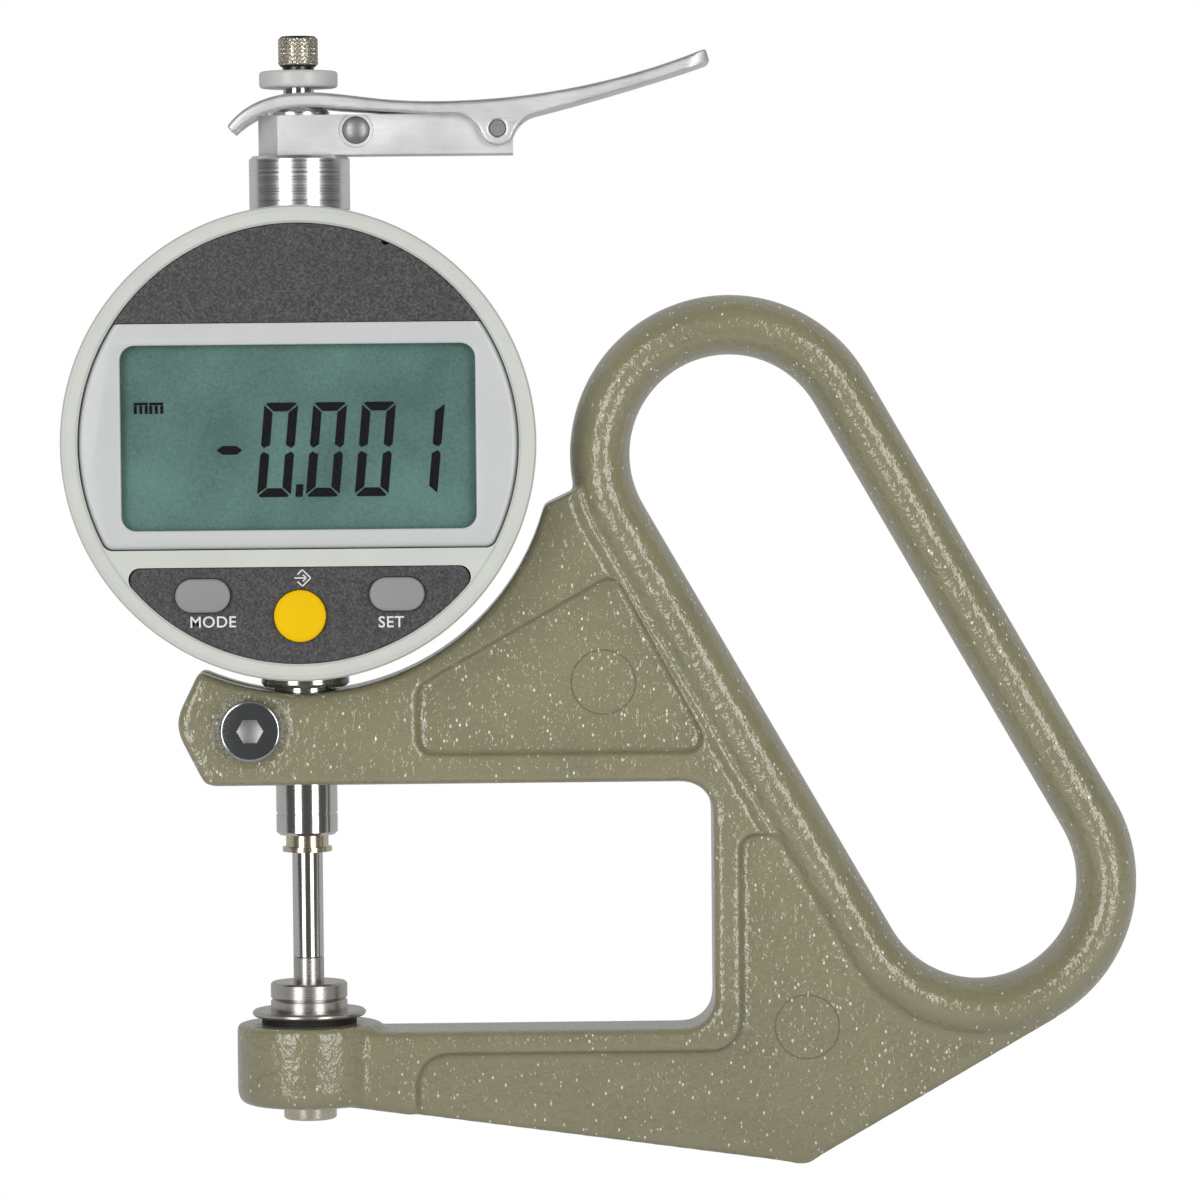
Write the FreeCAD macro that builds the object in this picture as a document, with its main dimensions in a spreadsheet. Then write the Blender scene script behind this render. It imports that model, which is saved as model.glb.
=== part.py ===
import FreeCAD, Part
import math
import os
import re

import Sketcher

# Hand-held digital thickness gauge: a cast C-frame with a loop handle, a round
# digital indicator clamped in its upper arm, and a thumb lever that lifts the
# spindle. Millimetres throughout.
#
# Axes: X runs from the anvils into the throat, Y away from the viewer (the
# display faces -Y), Z up along the spindle. The origin is the centre of the
# lower anvil's measuring face, where the two anvils meet at rest.

SIZES = [
    # Frame casting
    ("throat_height", 32.2, "clear height between the two arms"),
    ("throat_depth", 52.9, "spindle axis to the throat's back wall"),
    ("throat_corner", 4.0, "inner corner radius of the throat"),
    ("lower_arm_drop", 4.0, "lower arm's top face below the measuring face"),
    ("lower_arm_height", 9.1, "lower arm's height at the spindle axis"),
    ("upper_arm_height", 12.0, "upper arm's height at the spindle axis"),
    ("arm_nose", 17.0, "left corner of the upper arm, from the axis"),
    ("arm_nose_height", 8.0, "that corner above the arm's underside"),
    ("arm_nose_round", 5.0, "radius of that corner"),
    ("arm_tip", 13.2, "upper tip of the arm, from the axis"),
    ("arm_tip_height", 15.8, "upper tip above the arm's underside"),
    ("arm_heel", 12.9, "lower left corner of the upper arm"),
    ("arm_heel_round", 1.5, "radius of that corner"),
    ("frame_heel_setback", 11.85, "lowest corner of the frame, behind the throat"),
    ("frame_heel_drop", 22.1, "lowest corner below the measuring face"),
    ("frame_heel_round", 3.0, "radius of that corner"),
    ("frame_thickness", 12.0, "thickness of the casting's plate"),
    ("edge_round", 1.1, "cast edge radius"),
    ("web_thickness", 8.2, "plate left between the recesses"),
    ("recess_round", 1.9, "corner radius of the recesses"),
    ("upper_rim", 3.8, "rim below the upper recess"),
    ("upper_recess_start", 14.65, "left edge of the upper recess"),
    ("upper_recess_side", 9.0, "height of its left edge"),
    ("upper_recess_peak_setback", 12.4, "its highest corner, in front of the throat's back"),
    ("upper_recess_peak", 23.5, "its highest corner above the lower edge"),
    ("lower_recess_start", 14.15, "left edge of the lower recess"),
    ("lower_rim", 2.9, "rim along the throat's lower wall"),
    ("back_rim", 3.4, "rim along the throat's back wall"),
    ("lower_recess_top", 21.3, "upper end of the lower recess"),
    ("lower_recess_top_width", 6.0, "width of that end"),
    ("handle_setback", 2.6, "upper centre of the handle loop, behind the throat's back"),
    ("handle_rise", 42.4, "upper centre of the handle loop above the arm's underside"),
    ("handle_length", 64.6, "distance between the loop's two centres"),
    ("handle_angle", 60.15, "slope of the loop below the X axis, degrees"),
    ("handle_hole_radius", 12.93, "radius of the loop's round ends, inside"),
    ("handle_bar_width", 7.8, "bar of the loop, seen from the front"),
    ("handle_bar_depth", 13.0, "bar of the loop, front to back"),
    ("handle_root_angle", 20.5, "where the plate's upper edge enters the loop, degrees"),
    ("handle_foot_angle", 25.0, "where its lower edge ends inside the bar, degrees"),
    ("handle_foot_inset", 0.3, "lower edge inside the loop's outer edge"),
    ("cradle_end_angle", 15.34, "end of the cradle, below the head's axis, degrees"),
    ("boss_radius", 9.45, "round boss that carries the lower anvil"),
    ("boss_height", 10.6, "height of that boss"),
    ("boss_round", 1.4, "edge radius of that boss"),
    ("pin_mark_radius", 4.25, "ejector pin marks in the recesses"),
    ("pin_mark_depth", 0.15, "depth of the ring round each mark"),
    ("pin_mark_width", 0.3, "width of that ring"),
    ("pin_mark_setback", 14.1, "upper mark in front of the throat's back"),
    ("pin_mark_rise", 13.0, "upper mark above the arm's underside"),
    # Stem clamp
    ("clamp_offset", 6.95, "clamp screw's axis left of the stem"),
    ("clamp_height", 7.3, "clamp screw's axis above the arm's underside"),
    ("clamp_slot", 1.2, "width of the clamping slot"),
    ("clamp_head_radius", 4.0, "screw head"),
    ("clamp_head_height", 2.5, "screw head"),
    ("clamp_shank_radius", 2.5, "M5 shank"),
    ("clamp_shank_length", 10.4, "M5 shank"),
    ("clamp_socket", 3.0, "hexagon across flats"),
    ("clamp_socket_depth", 1.8, "hexagon depth"),
    ("spotface_radius", 4.8, "machined seat of the head"),
    ("spotface_depth", 0.5, "machined seat of the head"),
    # Anvils
    ("anvil_radius", 5.0, "measuring faces"),
    ("lower_anvil_height", 1.45, "disc of the lower anvil"),
    ("lower_anvil_shank", 3.0, "radius of its shank"),
    ("lower_anvil_recess", 0.8, "shank's end inside the boss"),
    ("flange_radius", 7.4, "disc under the lower anvil"),
    ("flange_height", 0.77, "disc under the lower anvil"),
    ("seat_ring_radius", 6.2, "black ring on the boss"),
    ("seat_ring_height", 0.93, "black ring on the boss"),
    ("anvil_screw_radius", 3.45, "head of the screw under the boss"),
    ("anvil_screw_height", 2.0, "head of the screw under the boss"),
    ("anvil_screw_shank", 1.5, "shank radius"),
    ("anvil_screw_length", 7.0, "shank length"),
    ("upper_anvil_height", 2.2, "disc of the upper anvil"),
    ("contact_neck_length", 3.3, "round neck above that disc"),
    ("contact_stud_radius", 1.2, "M2.5 stud of the upper anvil"),
    ("contact_stud_length", 4.0, "its length"),
    ("edge_chamfer", 0.25, "broken edge of turned pieces"),
    # Spindle and stem
    ("spindle_radius", 2.0, "spindle"),
    ("spindle_travel", 12.0, "lift of the spindle"),
    ("contact_gap", 0.05, "joint between neck and spindle"),
    ("running_fit", 0.03, "radial clearance of sliding and turning fits"),
    ("seat_fit", 0.02, "radial clearance of fixed fits"),
    ("stem_radius", 4.0, "clamping stem"),
    ("stem_drop", 6.7, "stem's end below the upper arm"),
    ("stem_inside", 3.4, "stem's length inside the case's lowest point"),
    ("stem_chamfer", 0.4, "stem's lower edge"),
    ("stem_seam_height", 2.7, "ring groove above the stem's end"),
    ("stem_seam_width", 0.3, "ring groove"),
    ("stem_seam_depth", 0.12, "ring groove"),
    ("bush_radius", 2.775, "lower bush"),
    ("bush_length", 10.2, "lower bush, flange included"),
    ("bush_flange_radius", 3.22, "its flange"),
    ("bush_flange_height", 0.6, "its flange"),
    ("bush_neck", 1.6, "bush showing between flange and stem"),
    ("shoulder_radius", 5.75, "ring under the case"),
    ("shoulder_height", 1.75, "ring under the case"),
    ("shoulder_chamfer", 0.45, "ring under the case"),
    # Rear case
    ("head_radius", 30.4, "turning display head"),
    ("housing_gap", 2.1, "space between head and cradle"),
    ("case_step", 0.3, "case is this much smaller than the head"),
    ("case_front", 7.2, "case's front face before the spindle axis"),
    ("case_back", 7.0, "case's rear edge behind the spindle axis"),
    ("case_wall", 2.0, "round wall"),
    ("case_face", 1.6, "front wall"),
    ("case_edge", 0.5, "outer edge chamfer"),
    ("hub_radius", 5.2, "hub that the head turns on"),
    ("hub_bore", 3.8, "hub's opening for the cable"),
    ("hub_groove_depth", 0.6, "groove of the retaining ring"),
    ("hub_groove_width", 0.6, "groove of the retaining ring"),
    ("hub_lip", 0.2, "hub in front of that groove"),
    ("ring_outer", 6.4, "retaining ring"),
    ("ring_thickness", 0.5, "retaining ring"),
    ("post_radius", 2.6, "screw posts in the case"),
    ("post_offset", 17.0, "their distance from the axis, X and Z"),
    ("cover_thickness", 2.0, "back cover"),
    ("cover_lip", 1.2, "rim of the cover inside the case"),
    ("cover_lip_wall", 1.0, "rim of the cover inside the case"),
    ("cover_screw_head", 2.0, "head radius"),
    ("cover_screw_head_height", 1.1, "head height"),
    ("cover_screw_recess", 1.2, "head recess depth"),
    ("cover_screw_shank", 1.0, "shank radius"),
    ("cover_screw_length", 6.0, "shank length"),
    ("stop_pin_radius", 1.0, "pin that limits the head's turn"),
    ("stop_pin_orbit", 16.0, "its distance below the head's axis"),
    ("stop_pin_length", 2.6, "its length"),
    ("stop_slot_clearance", 0.2, "slot wider than the pin on each side"),
    ("head_turn", 135.0, "turn of the head each way, degrees"),
    # Inside the case
    ("carrier_width", 10.0, "scale carrier, X"),
    ("carrier_depth", 6.8, "scale carrier, Y"),
    ("carrier_height", 8.0, "scale carrier, Z"),
    ("carrier_drop", 6.7, "its lower face below the head's axis"),
    ("scale_width", 6.0, "glass scale"),
    ("scale_length", 28.0, "glass scale"),
    ("scale_thickness", 1.1, "glass scale"),
    ("scale_drop", 16.7, "its lower end below the head's axis"),
    ("read_gap", 0.15, "air between scale and read head"),
    ("read_head_thickness", 0.4, "read head"),
    ("read_head_width", 8.0, "read head"),
    ("board_thickness", 0.8, "circuit boards"),
    ("sensor_board_width", 28.0, "sensor board"),
    ("sensor_board_height", 26.0, "sensor board"),
    ("pillar_radius", 1.5, "board pillars"),
    ("pillar_margin", 2.0, "pillar's centre inside the board's edge"),
    ("guide_pin_radius", 1.0, "pin against rotation"),
    ("guide_pin_length", 8.0, "its length"),
    ("guide_pin_inset", 2.0, "its length inside the carrier"),
    ("guide_rail_gap", 2.5, "rail from the carrier"),
    ("guide_rail_width", 4.0, "rail, X"),
    ("guide_rail_wall", 1.6, "rail beside the slot"),
    ("guide_rail_end", 2.0, "rail past each end of the travel"),
    ("spring_radius", 3.1, "mean radius of the spring"),
    ("spring_wire", 0.5, "wire diameter"),
    ("spring_turns", 11.0, "number of turns"),
    ("spring_clearance", 0.1, "spring to its seats"),
    # Lifting gear on top
    ("sleeve_radius", 6.55, "top sleeve"),
    ("sleeve_height", 7.0, "top sleeve above the case"),
    ("sleeve_chamfer", 0.45, "its upper edge"),
    ("sleeve_shank_radius", 4.5, "its spigot in the case"),
    ("sleeve_shank_length", 3.3, "its spigot in the case"),
    ("upper_bush_radius", 3.0, "upper bush"),
    ("upper_bush_length", 9.3, "upper bush, flange included"),
    ("upper_bush_flange", 3.9, "its flange radius"),
    ("upper_bush_flange_height", 0.6, "its flange height"),
    ("bracket_height", 5.2, "lifter bracket"),
    ("bracket_depth", 8.0, "lifter bracket"),
    ("bracket_left", 5.2, "bracket left of the axis"),
    ("bracket_right", 2.0, "bracket past the pivot"),
    ("bracket_nose_length", 2.6, "bevelled nose"),
    ("bracket_nose_depth", 3.4, "width of the nose's flat end"),
    ("nut_radius", 4.0, "hollow nut on the bracket"),
    ("nut_height", 1.0, "its head"),
    ("nut_dome", 0.6, "bevel of its head"),
    ("nut_thread_length", 6.5, "its thread"),
    ("cross_screw_reach", 7.5, "cross screw from the axis"),
    ("cross_screw_radius", 1.75, "cross screw"),
    ("cross_screw_bevel", 0.5, "cross screw's rounded end"),
    ("pivot_reach", 25.8, "lever pivot from the axis"),
    ("pivot_rise", 3.2, "pivot above the bracket's underside"),
    ("pivot_radius", 1.0, "pivot pin"),
    ("pivot_end", 0.1, "pin past the lever's cheeks"),
    ("lever_width", 10.8, "lever, front to back"),
    ("lever_side_gap", 0.12, "lever beside the bracket"),
    ("lever_top_gap", 0.35, "lever above the bracket"),
    ("lever_heel_gap", 0.4, "room over the bracket's end when tilted"),
    ("lever_fork_gap", 0.35, "fork beside the spindle"),
    ("lever_fork_reach", 3.0, "end of the fork's slot behind the axis"),
    ("lever_round", 0.6, "rounded long edges of the lever"),
    ("lever_tip_round", 4.6, "corner radius of the thumb end, from above"),
    ("lever_nut_gap", 0.2, "lever round the nut's head"),
    ("lever_toe_reach", 34.9, "forked end from the pivot"),
    ("lever_toe_height", 0.6, "forked end above the pivot"),
    ("lever_toe_thickness", 1.2, "thickness of the forked end"),
    ("lever_hump_height", 4.85, "top of the hump above the pivot"),
    ("lever_hump_fall", 0.9, "fall of the hump half way to the forked end"),
    ("lever_shoulder_reach", 15.5, "foot of the hump from the pivot"),
    ("lever_shoulder_height", 4.0, "foot of the hump above the pivot"),
    ("lever_waist_reach", 4.7, "lowest point of the top from the pivot"),
    ("lever_waist_height", 3.65, "lowest point of the top above the pivot"),
    ("lever_bow_reach", 12.2, "middle of the thumb blade from the pivot"),
    ("lever_bow_height", 5.65, "middle of the thumb blade above the pivot"),
    ("lever_tip_reach", 27.0, "thumb end from the pivot"),
    ("lever_tip_height", 10.1, "thumb end above the pivot"),
    ("lever_blade", 1.9, "thickness of the lever's blade"),
    ("lever_throat_reach", 4.7, "end of the right hollow from the pivot"),
    ("lever_lug_radius", 2.25, "lug round the pivot"),
    ("lever_lug_side", 30.0, "where the lug's round ends, below level, degrees"),
    ("lever_hollow_reach", 3.1, "hollows beside the lug from the pivot"),
    ("lever_hollow_height", 0.8, "hollows beside the lug above the pivot"),
    ("lever_cheek_reach", 6.6, "end of the left hollow from the pivot"),
    ("lever_cheek_height", 1.75, "cheeks' lower edge above the pivot, there"),
    ("lever_cheek_rise", 1.0, "rise of that edge up to the hump"),
    ("lever_cheek_end", 20.6, "end of the cheeks from the pivot"),
    ("collar_gap", 2.6, "collar above the nut"),
    ("collar_radius", 5.1, "lift collar"),
    ("collar_height", 2.2, "lift collar"),
    ("cap_radius", 2.6, "knurled cap"),
    ("cap_height", 4.5, "knurled cap"),
    ("cap_roof", 0.9, "metal above the thread"),
    ("cap_bevel", 0.45, "its upper edge"),
    ("top_thread_radius", 1.25, "spindle's upper thread"),
    # Display head
    ("head_front", 15.5, "head's front face before the spindle axis"),
    ("head_gap", 0.2, "head in front of the case"),
    ("bezel_wall", 2.25, "ring of the bezel"),
    ("bezel_round", 0.8, "its rounded edge"),
    ("bar_below_axis", 15.7, "lower edge of the bezel's crossbar"),
    ("bar_height", 2.2, "height of that crossbar"),
    ("bar_thickness", 1.6, "depth of that crossbar"),
    ("bar_recess", 0.3, "crossbar behind the bezel's front"),
    ("bezel_inner_edge", 0.3, "bevel of the bezel's inner edge"),
    ("face_recess", 0.5, "plates lie this much behind the bezel"),
    ("face_gap", 0.1, "joint round plates and keys"),
    ("cover_above_axis", 15.5, "lower edge of the battery cover"),
    ("plate_thickness", 1.0, "plates of the face"),
    ("surround_drop", 0.1, "display surround behind the plates"),
    ("face_corner", 1.5, "corners of plates and surround at the crossbar"),
    ("cover_notch", 0.5, "radius of the nail notch in the battery cover"),
    ("cover_notch_angle", 66.0, "its place on the rim, from the right, degrees"),
    ("opening_half_width", 22.65, "display opening"),
    ("opening_low", 11.0, "display opening below the head's axis"),
    ("opening_high", 12.65, "display opening above the head's axis"),
    ("opening_corner", 1.9, "display opening"),
    ("window_thickness", 0.5, "clear window"),
    ("window_overlap", 0.9, "window past its opening"),
    ("panel_thickness", 1.1, "liquid crystal panel"),
    ("back_plate_thickness", 1.1, "head's back plate"),
    ("board_gap", 0.1, "main board in front of the hub"),
    ("board_top", 6.6, "main board above the head's axis"),
    ("board_bottom", 23.0, "main board below the head's axis"),
    ("board_half_width", 14.5, "main board"),
    ("board_edge_gap", 2.0, "main board inside the bezel"),
    ("strip_height", 1.8, "display contact strips"),
    ("strip_inset", 1.0, "strips inside the panel's edge"),
    ("cell_radius", 10.0, "coin cell"),
    ("cell_thickness", 3.2, "coin cell"),
    ("cell_face_radius", 8.5, "raised face of the cell"),
    ("cell_rise", 17.3, "its centre above the head's axis"),
    ("cell_contact", 0.2, "thickness of the contact springs"),
    ("cell_contact_width", 4.0, "their width"),
    ("holder_wall", 0.5, "cell holder"),
    ("pill_width", 7.05, "grey keys"),
    ("pill_height", 4.3, "grey keys"),
    ("pill_reach", 12.4, "grey keys from the middle"),
    ("pill_drop", 19.3, "grey keys below the head's axis"),
    ("round_key_radius", 3.3, "yellow key"),
    ("round_key_drop", 22.0, "yellow key below the head's axis"),
    ("key_proud", 0.9, "keys in front of their plate"),
    ("key_flange", 0.6, "flange behind the plate"),
    ("key_flange_thickness", 0.7, "flange behind the plate"),
    ("key_travel", 0.8, "key stroke"),
    ("key_end_gap", 0.1, "left between key and switch at full stroke"),
    ("mat_thickness", 0.6, "switch mat"),
    ("mat_half_width", 19.0, "switch mat"),
    ("mat_height", 9.0, "switch mat"),
    ("mat_below", 6.3, "switch mat below the grey keys' line"),
    ("dome_radius", 2.0, "switch domes on the mat"),
]

PARTS_FOLDER = "parts"
X_AXIS = FreeCAD.Vector(1, 0, 0)
Y_AXIS = FreeCAD.Vector(0, 1, 0)
UPRIGHT = FreeCAD.Rotation()
# Turns a piece's own Z axis to point into the depth, along Y.
INTO_DEPTH = FreeCAD.Rotation(X_AXIS, -90)
# Turns a piece's own Z axis to point along X.
SIDEWAYS = FreeCAD.Rotation(Y_AXIS, 90)
FULL_TURN = 360
SQUARE_ROOT_3 = math.sqrt(3)
# Length by which a cutting tool passes the faces that it opens.
PAST = "5"
# Room past the end of a screw or a stud.
END_ROOM = "1"
# Joined pieces reach this far into each other.
SINK = "0.2"
# Share of its radius that a rounded rim has at the middle point it is drawn with.
RIM_SHARE = "0.3"

# Heights and depths that follow from the sizes above.
ARM_UNDERSIDE = "(throat_height - lower_arm_drop)"
CASE_RADIUS = "(head_radius - case_step)"
HANDLE_X = "(throat_depth + handle_setback)"
HANDLE_Z = f"({ARM_UNDERSIDE} + handle_rise)"
CRADLE_RADIUS = "(head_radius + housing_gap)"
HEAD_Z = f"({ARM_UNDERSIDE} + upper_arm_height + {CRADLE_RADIUS})"
CASE_BOTTOM = f"({HEAD_Z} - {CASE_RADIUS})"
CASE_TOP = f"({HEAD_Z} + {CASE_RADIUS})"
BOSS_TOP = "(-lower_anvil_height - flange_height - seat_ring_height)"
BOSS_BOTTOM = f"({BOSS_TOP} - boss_height)"
CONTACT_TOP = "(upper_anvil_height + contact_neck_length)"
SPINDLE_BOTTOM = f"({CONTACT_TOP} + contact_gap)"
STEM_BOTTOM = f"({ARM_UNDERSIDE} - stem_drop)"
SLEEVE_TOP = f"({CASE_TOP} + sleeve_height)"
BRACKET_TOP = f"({SLEEVE_TOP} + bracket_height)"
NUT_TOP = f"({BRACKET_TOP} + nut_height)"
COLLAR_BOTTOM = f"({NUT_TOP} + collar_gap)"
PIVOT_Z = f"({SLEEVE_TOP} + pivot_rise)"
CARRIER_BOTTOM = f"({HEAD_Z} - carrier_drop)"
UPPER_BUSH_BOTTOM = f"({CASE_TOP} - sleeve_shank_length - upper_bush_flange_height)"
FACE_INNER_RADIUS = "(head_radius - bezel_wall)"
HEAD_BACK = "(-case_front - head_gap)"
HUB_LENGTH = "(head_gap + back_plate_thickness + hub_groove_width + hub_lip)"
BOARD_STAND = "(hub_groove_width + hub_lip + board_gap)"
BACK_PLATE_FRONT = f"({HEAD_BACK} - back_plate_thickness)"
FACE_FRONT = "(-head_front + face_recess)"
PLATE_BACK = f"({FACE_FRONT} + plate_thickness)"
WINDOW_FRONT = f"({PLATE_BACK} + surround_drop + seat_fit)"
PANEL_FRONT = f"({WINDOW_FRONT} + window_thickness)"
PANEL_BACK = f"({PANEL_FRONT} + panel_thickness)"
MAIN_BOARD_FRONT = f"({BACK_PLATE_FRONT} - {BOARD_STAND} - board_thickness)"
KEY_BACK = f"({PLATE_BACK} + face_gap + key_flange_thickness)"
MAT_FRONT = f"({MAIN_BOARD_FRONT} - mat_thickness)"

doc = FreeCAD.newDocument("ThicknessGauge")
sheet = doc.addObject("Spreadsheet::Sheet", "Sizes")
NAMES = {name for name, _, _ in SIZES}


def fill_sheet():
    """Write every driving size into the sheet, with its name as the alias."""
    for row, (name, value, meaning) in enumerate(SIZES, start=1):
        sheet.set(f"A{row}", name)
        sheet.set(f"B{row}", str(value))
        sheet.set(f"C{row}", meaning)
        sheet.setAlias(f"B{row}", name)
    doc.recompute()


def sized(formula):
    """The formula with each size's name pointing into the sheet."""
    def point(match):
        word = match.group(0)
        return f"Sizes.{word}" if word in NAMES else word
    return re.sub(r"[A-Za-z_][A-Za-z_0-9]*", point, str(formula))


def number(formula):
    """The formula's present value."""
    return float(sheet.evalExpression(sized(formula)))


def bind(item, target, formula):
    """Tie one property or constraint of an object to a formula."""
    item.setExpression(target, sized(formula))


def place(item, at, turn=UPRIGHT):
    """Set an object's rotation and tie its position to three formulas."""
    item.Placement = FreeCAD.Placement(FreeCAD.Vector(), turn)
    for axis, formula in zip("xyz", at):
        bind(item, f"Placement.Base.{axis}", formula)
    return item


def cylinder(name, radius, height, at, turn=UPRIGHT):
    """A cylinder that starts at a point and runs along the turned Z axis."""
    item = doc.addObject("Part::Cylinder", name)
    bind(item, "Radius", radius)
    bind(item, "Height", height)
    return place(item, at, turn)


def box(name, size, at):
    """A box given by its three lengths and its lowest corner."""
    item = doc.addObject("Part::Box", name)
    for side, formula in zip(("Length", "Width", "Height"), size):
        bind(item, side, formula)
    return place(item, at)


def fuse(name, pieces):
    """The union of several objects."""
    item = doc.addObject("Part::MultiFuse", name)
    item.Shapes = pieces
    return item


def cut(name, base, tools):
    """An object less one or more tools."""
    item = doc.addObject("Part::Cut", name)
    item.Base = base
    item.Tool = tools[0] if len(tools) == 1 else fuse(f"{name}_tools", tools)
    return item


def common(name, pieces):
    """What several objects share."""
    item = doc.addObject("Part::MultiCommon", name)
    item.Shapes = pieces
    return item


def group(name, pieces):
    """Separate solids that share one node."""
    item = doc.addObject("Part::Compound", name)
    item.Links = pieces
    return item


def plane_of(body, role):
    """One of a body's own origin planes."""
    return next(item for item in body.Origin.OriginFeatures if item.Role == role)


def outline_sketch(body, name, role, corners):
    """A closed outline of straight lines, each corner tied to two formulas."""
    sketch = body.newObject("Sketcher::SketchObject", name)
    sketch.AttachmentSupport = [(plane_of(body, role), "")]
    sketch.MapMode = "FlatFace"
    points = [FreeCAD.Vector(number(u), number(v), 0) for u, v in corners]
    count = len(points)
    for index, point in enumerate(points):
        sketch.addGeometry(Part.LineSegment(point, points[(index + 1) % count]), False)
    for index in range(count):
        sketch.addConstraint(
            Sketcher.Constraint("Coincident", index, 2, (index + 1) % count, 1))
    for index, (point, corner) in enumerate(zip(points, corners)):
        for kind, value, formula in zip(("DistanceX", "DistanceY"), point, corner):
            place_in_list = sketch.addConstraint(
                Sketcher.Constraint(kind, -1, 1, index, 1, value))
            bind(sketch, f"Constraints[{place_in_list}]", formula)
    return sketch


def turned(name, outline, at, turn=UPRIGHT):
    """A piece turned on a lathe: its half outline as radius and height pairs."""
    body = doc.addObject("PartDesign::Body", name)
    sketch = outline_sketch(body, f"{name}_outline", "XZ_Plane", outline)
    feature = body.newObject("PartDesign::Revolution", f"{name}_turning")
    feature.Profile = sketch
    feature.ReferenceAxis = (sketch, ["V_Axis"])
    feature.Angle = FULL_TURN
    return place(body, at, turn)


def plate(name, corners, thickness, at, rounds=(), role="XZ_Plane"):
    """A flat piece: an outline padded evenly to both sides of its plane.

    rounds pairs a corner's number with the formula of its radius.
    """
    body = doc.addObject("PartDesign::Body", name)
    sketch = outline_sketch(body, f"{name}_outline", role, corners)
    pad = body.newObject("PartDesign::Pad", f"{name}_pad")
    pad.Profile = sketch
    pad.Midplane = True
    bind(pad, "Length", thickness)
    doc.recompute()
    for radius in dict.fromkeys(formula for _, formula in rounds):
        chosen = [corners[index] for index, formula in rounds if formula == radius]
        round_corners(body, role, chosen, radius)
    return place(body, at)


def round_corners(body, role, corners, radius):
    """Round the straight edges of a padded outline that stand on some corners."""
    spots = []
    for u, v in corners:
        spot = (number(u), 0, number(v)) if role == "XZ_Plane" else (number(u), number(v), 0)
        spots.append(FreeCAD.Vector(*spot))
    flat = Y_AXIS if role == "XZ_Plane" else FreeCAD.Vector(0, 0, 1)

    def stands_on_a_corner(edge):
        middle = edge.CenterOfMass
        level = middle - flat * middle.dot(flat)
        return min(level.distanceToPoint(spot) for spot in spots) < 1e-3

    round_edges(body, "corners", radius, stands_on_a_corner)


def round_edges(body, what, radius, chosen):
    """Add a fillet over the edges of a body's last feature that a test picks."""
    last = body.Tip
    names = [f"Edge{index}" for index, edge in enumerate(last.Shape.Edges, start=1)
             if chosen(edge)]
    fillet = body.newObject("PartDesign::Fillet", f"{body.Name}_{what}")
    fillet.Base = (last, names)
    bind(fillet, "Radius", radius)
    doc.recompute()


def screw(name, head, shank, at, turn, socket=None):
    """A screw: head (radius, height), shank (radius, length), optional hexagon."""
    (head_radius, head_height), (shank_radius, length) = head, shank
    end = f"({head_height} + {length})"
    item = turned(f"{name}_turned", [
        ("0", "0"),
        (f"{head_radius} - edge_chamfer", "0"),
        (head_radius, "edge_chamfer"),
        (head_radius, head_height),
        (shank_radius, head_height),
        (shank_radius, f"{end} - edge_chamfer"),
        (f"{shank_radius} - edge_chamfer", end),
        ("0", end),
    ], at, turn)
    if socket:
        across, depth = socket
        hexagon = doc.addObject("Part::Prism", f"{name}_hexagon")
        hexagon.Polygon = 6
        bind(hexagon, "Circumradius", f"{across} / {SQUARE_ROOT_3}")
        bind(hexagon, "Height", depth)
        place(hexagon, at, turn)
        item = cut(name, item, [hexagon])
    return item


def washer(name, inner, outer, height, at, turn=UPRIGHT):
    """A plain ring."""
    return turned(name, [(inner, "0"), (outer, "0"), (outer, height), (inner, height)],
                  at, turn)


# Frame casting

def handle_point(along, across):
    """A point of the handle loop's own plane, from its upper centre, in X and Z."""
    cosine, sine = "cos(handle_angle)", "sin(handle_angle)"
    return (f"{HANDLE_X} + ({along}) * {cosine} - ({across}) * {sine}",
            f"{HANDLE_Z} - ({along}) * {sine} - ({across}) * {cosine}")


def frame_plate():
    """The casting's plate: both arms, the throat and the part below the handle."""
    middle = "(handle_hole_radius + handle_bar_width / 2)"
    outer = "(handle_hole_radius + handle_bar_width)"
    diagonal = f"{middle} * sqrt(0.5)"
    cradle_end = f"({CRADLE_RADIUS} - edge_chamfer)"
    corners = [
        ("-arm_tip", f"{ARM_UNDERSIDE} + arm_tip_height"),
        ("-arm_nose", f"{ARM_UNDERSIDE} + arm_nose_height"),
        ("-arm_heel", ARM_UNDERSIDE),
        ("throat_depth", ARM_UNDERSIDE),
        ("throat_depth", "-lower_arm_drop"),
        ("0", "-lower_arm_drop"),
        ("0", "-lower_arm_drop - lower_arm_height"),
        ("throat_depth + frame_heel_setback", "-frame_heel_drop"),
        handle_point(f"handle_length + {outer} - handle_foot_inset", "0"),
        handle_point(f"handle_length + {middle} * cos(handle_foot_angle)",
                     f"{middle} * sin(handle_foot_angle)"),
        handle_point(f"handle_length + {diagonal}", diagonal),
        handle_point("handle_length", middle),
        handle_point("0", middle),
        handle_point(f"-{middle} * sin(handle_root_angle)",
                     f"{middle} * cos(handle_root_angle)"),
        (f"{cradle_end} * cos(cradle_end_angle)",
         f"{HEAD_Z} - {cradle_end} * sin(cradle_end_angle)"),
    ]
    rounds = [(1, "arm_nose_round"), (2, "arm_heel_round"), (3, "throat_corner"),
              (4, "throat_corner"), (7, "frame_heel_round")]
    body = plate("frame_plate", corners, "frame_thickness", ("0", "0", "0"), rounds)
    cradle = cylinder("frame_cradle", CRADLE_RADIUS, f"frame_thickness + 2 * {PAST}",
                      ("0", f"-frame_thickness / 2 - {PAST}", HEAD_Z), INTO_DEPTH)
    return cut("frame_cradled", body, [cradle]), corners[9:14]


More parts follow.
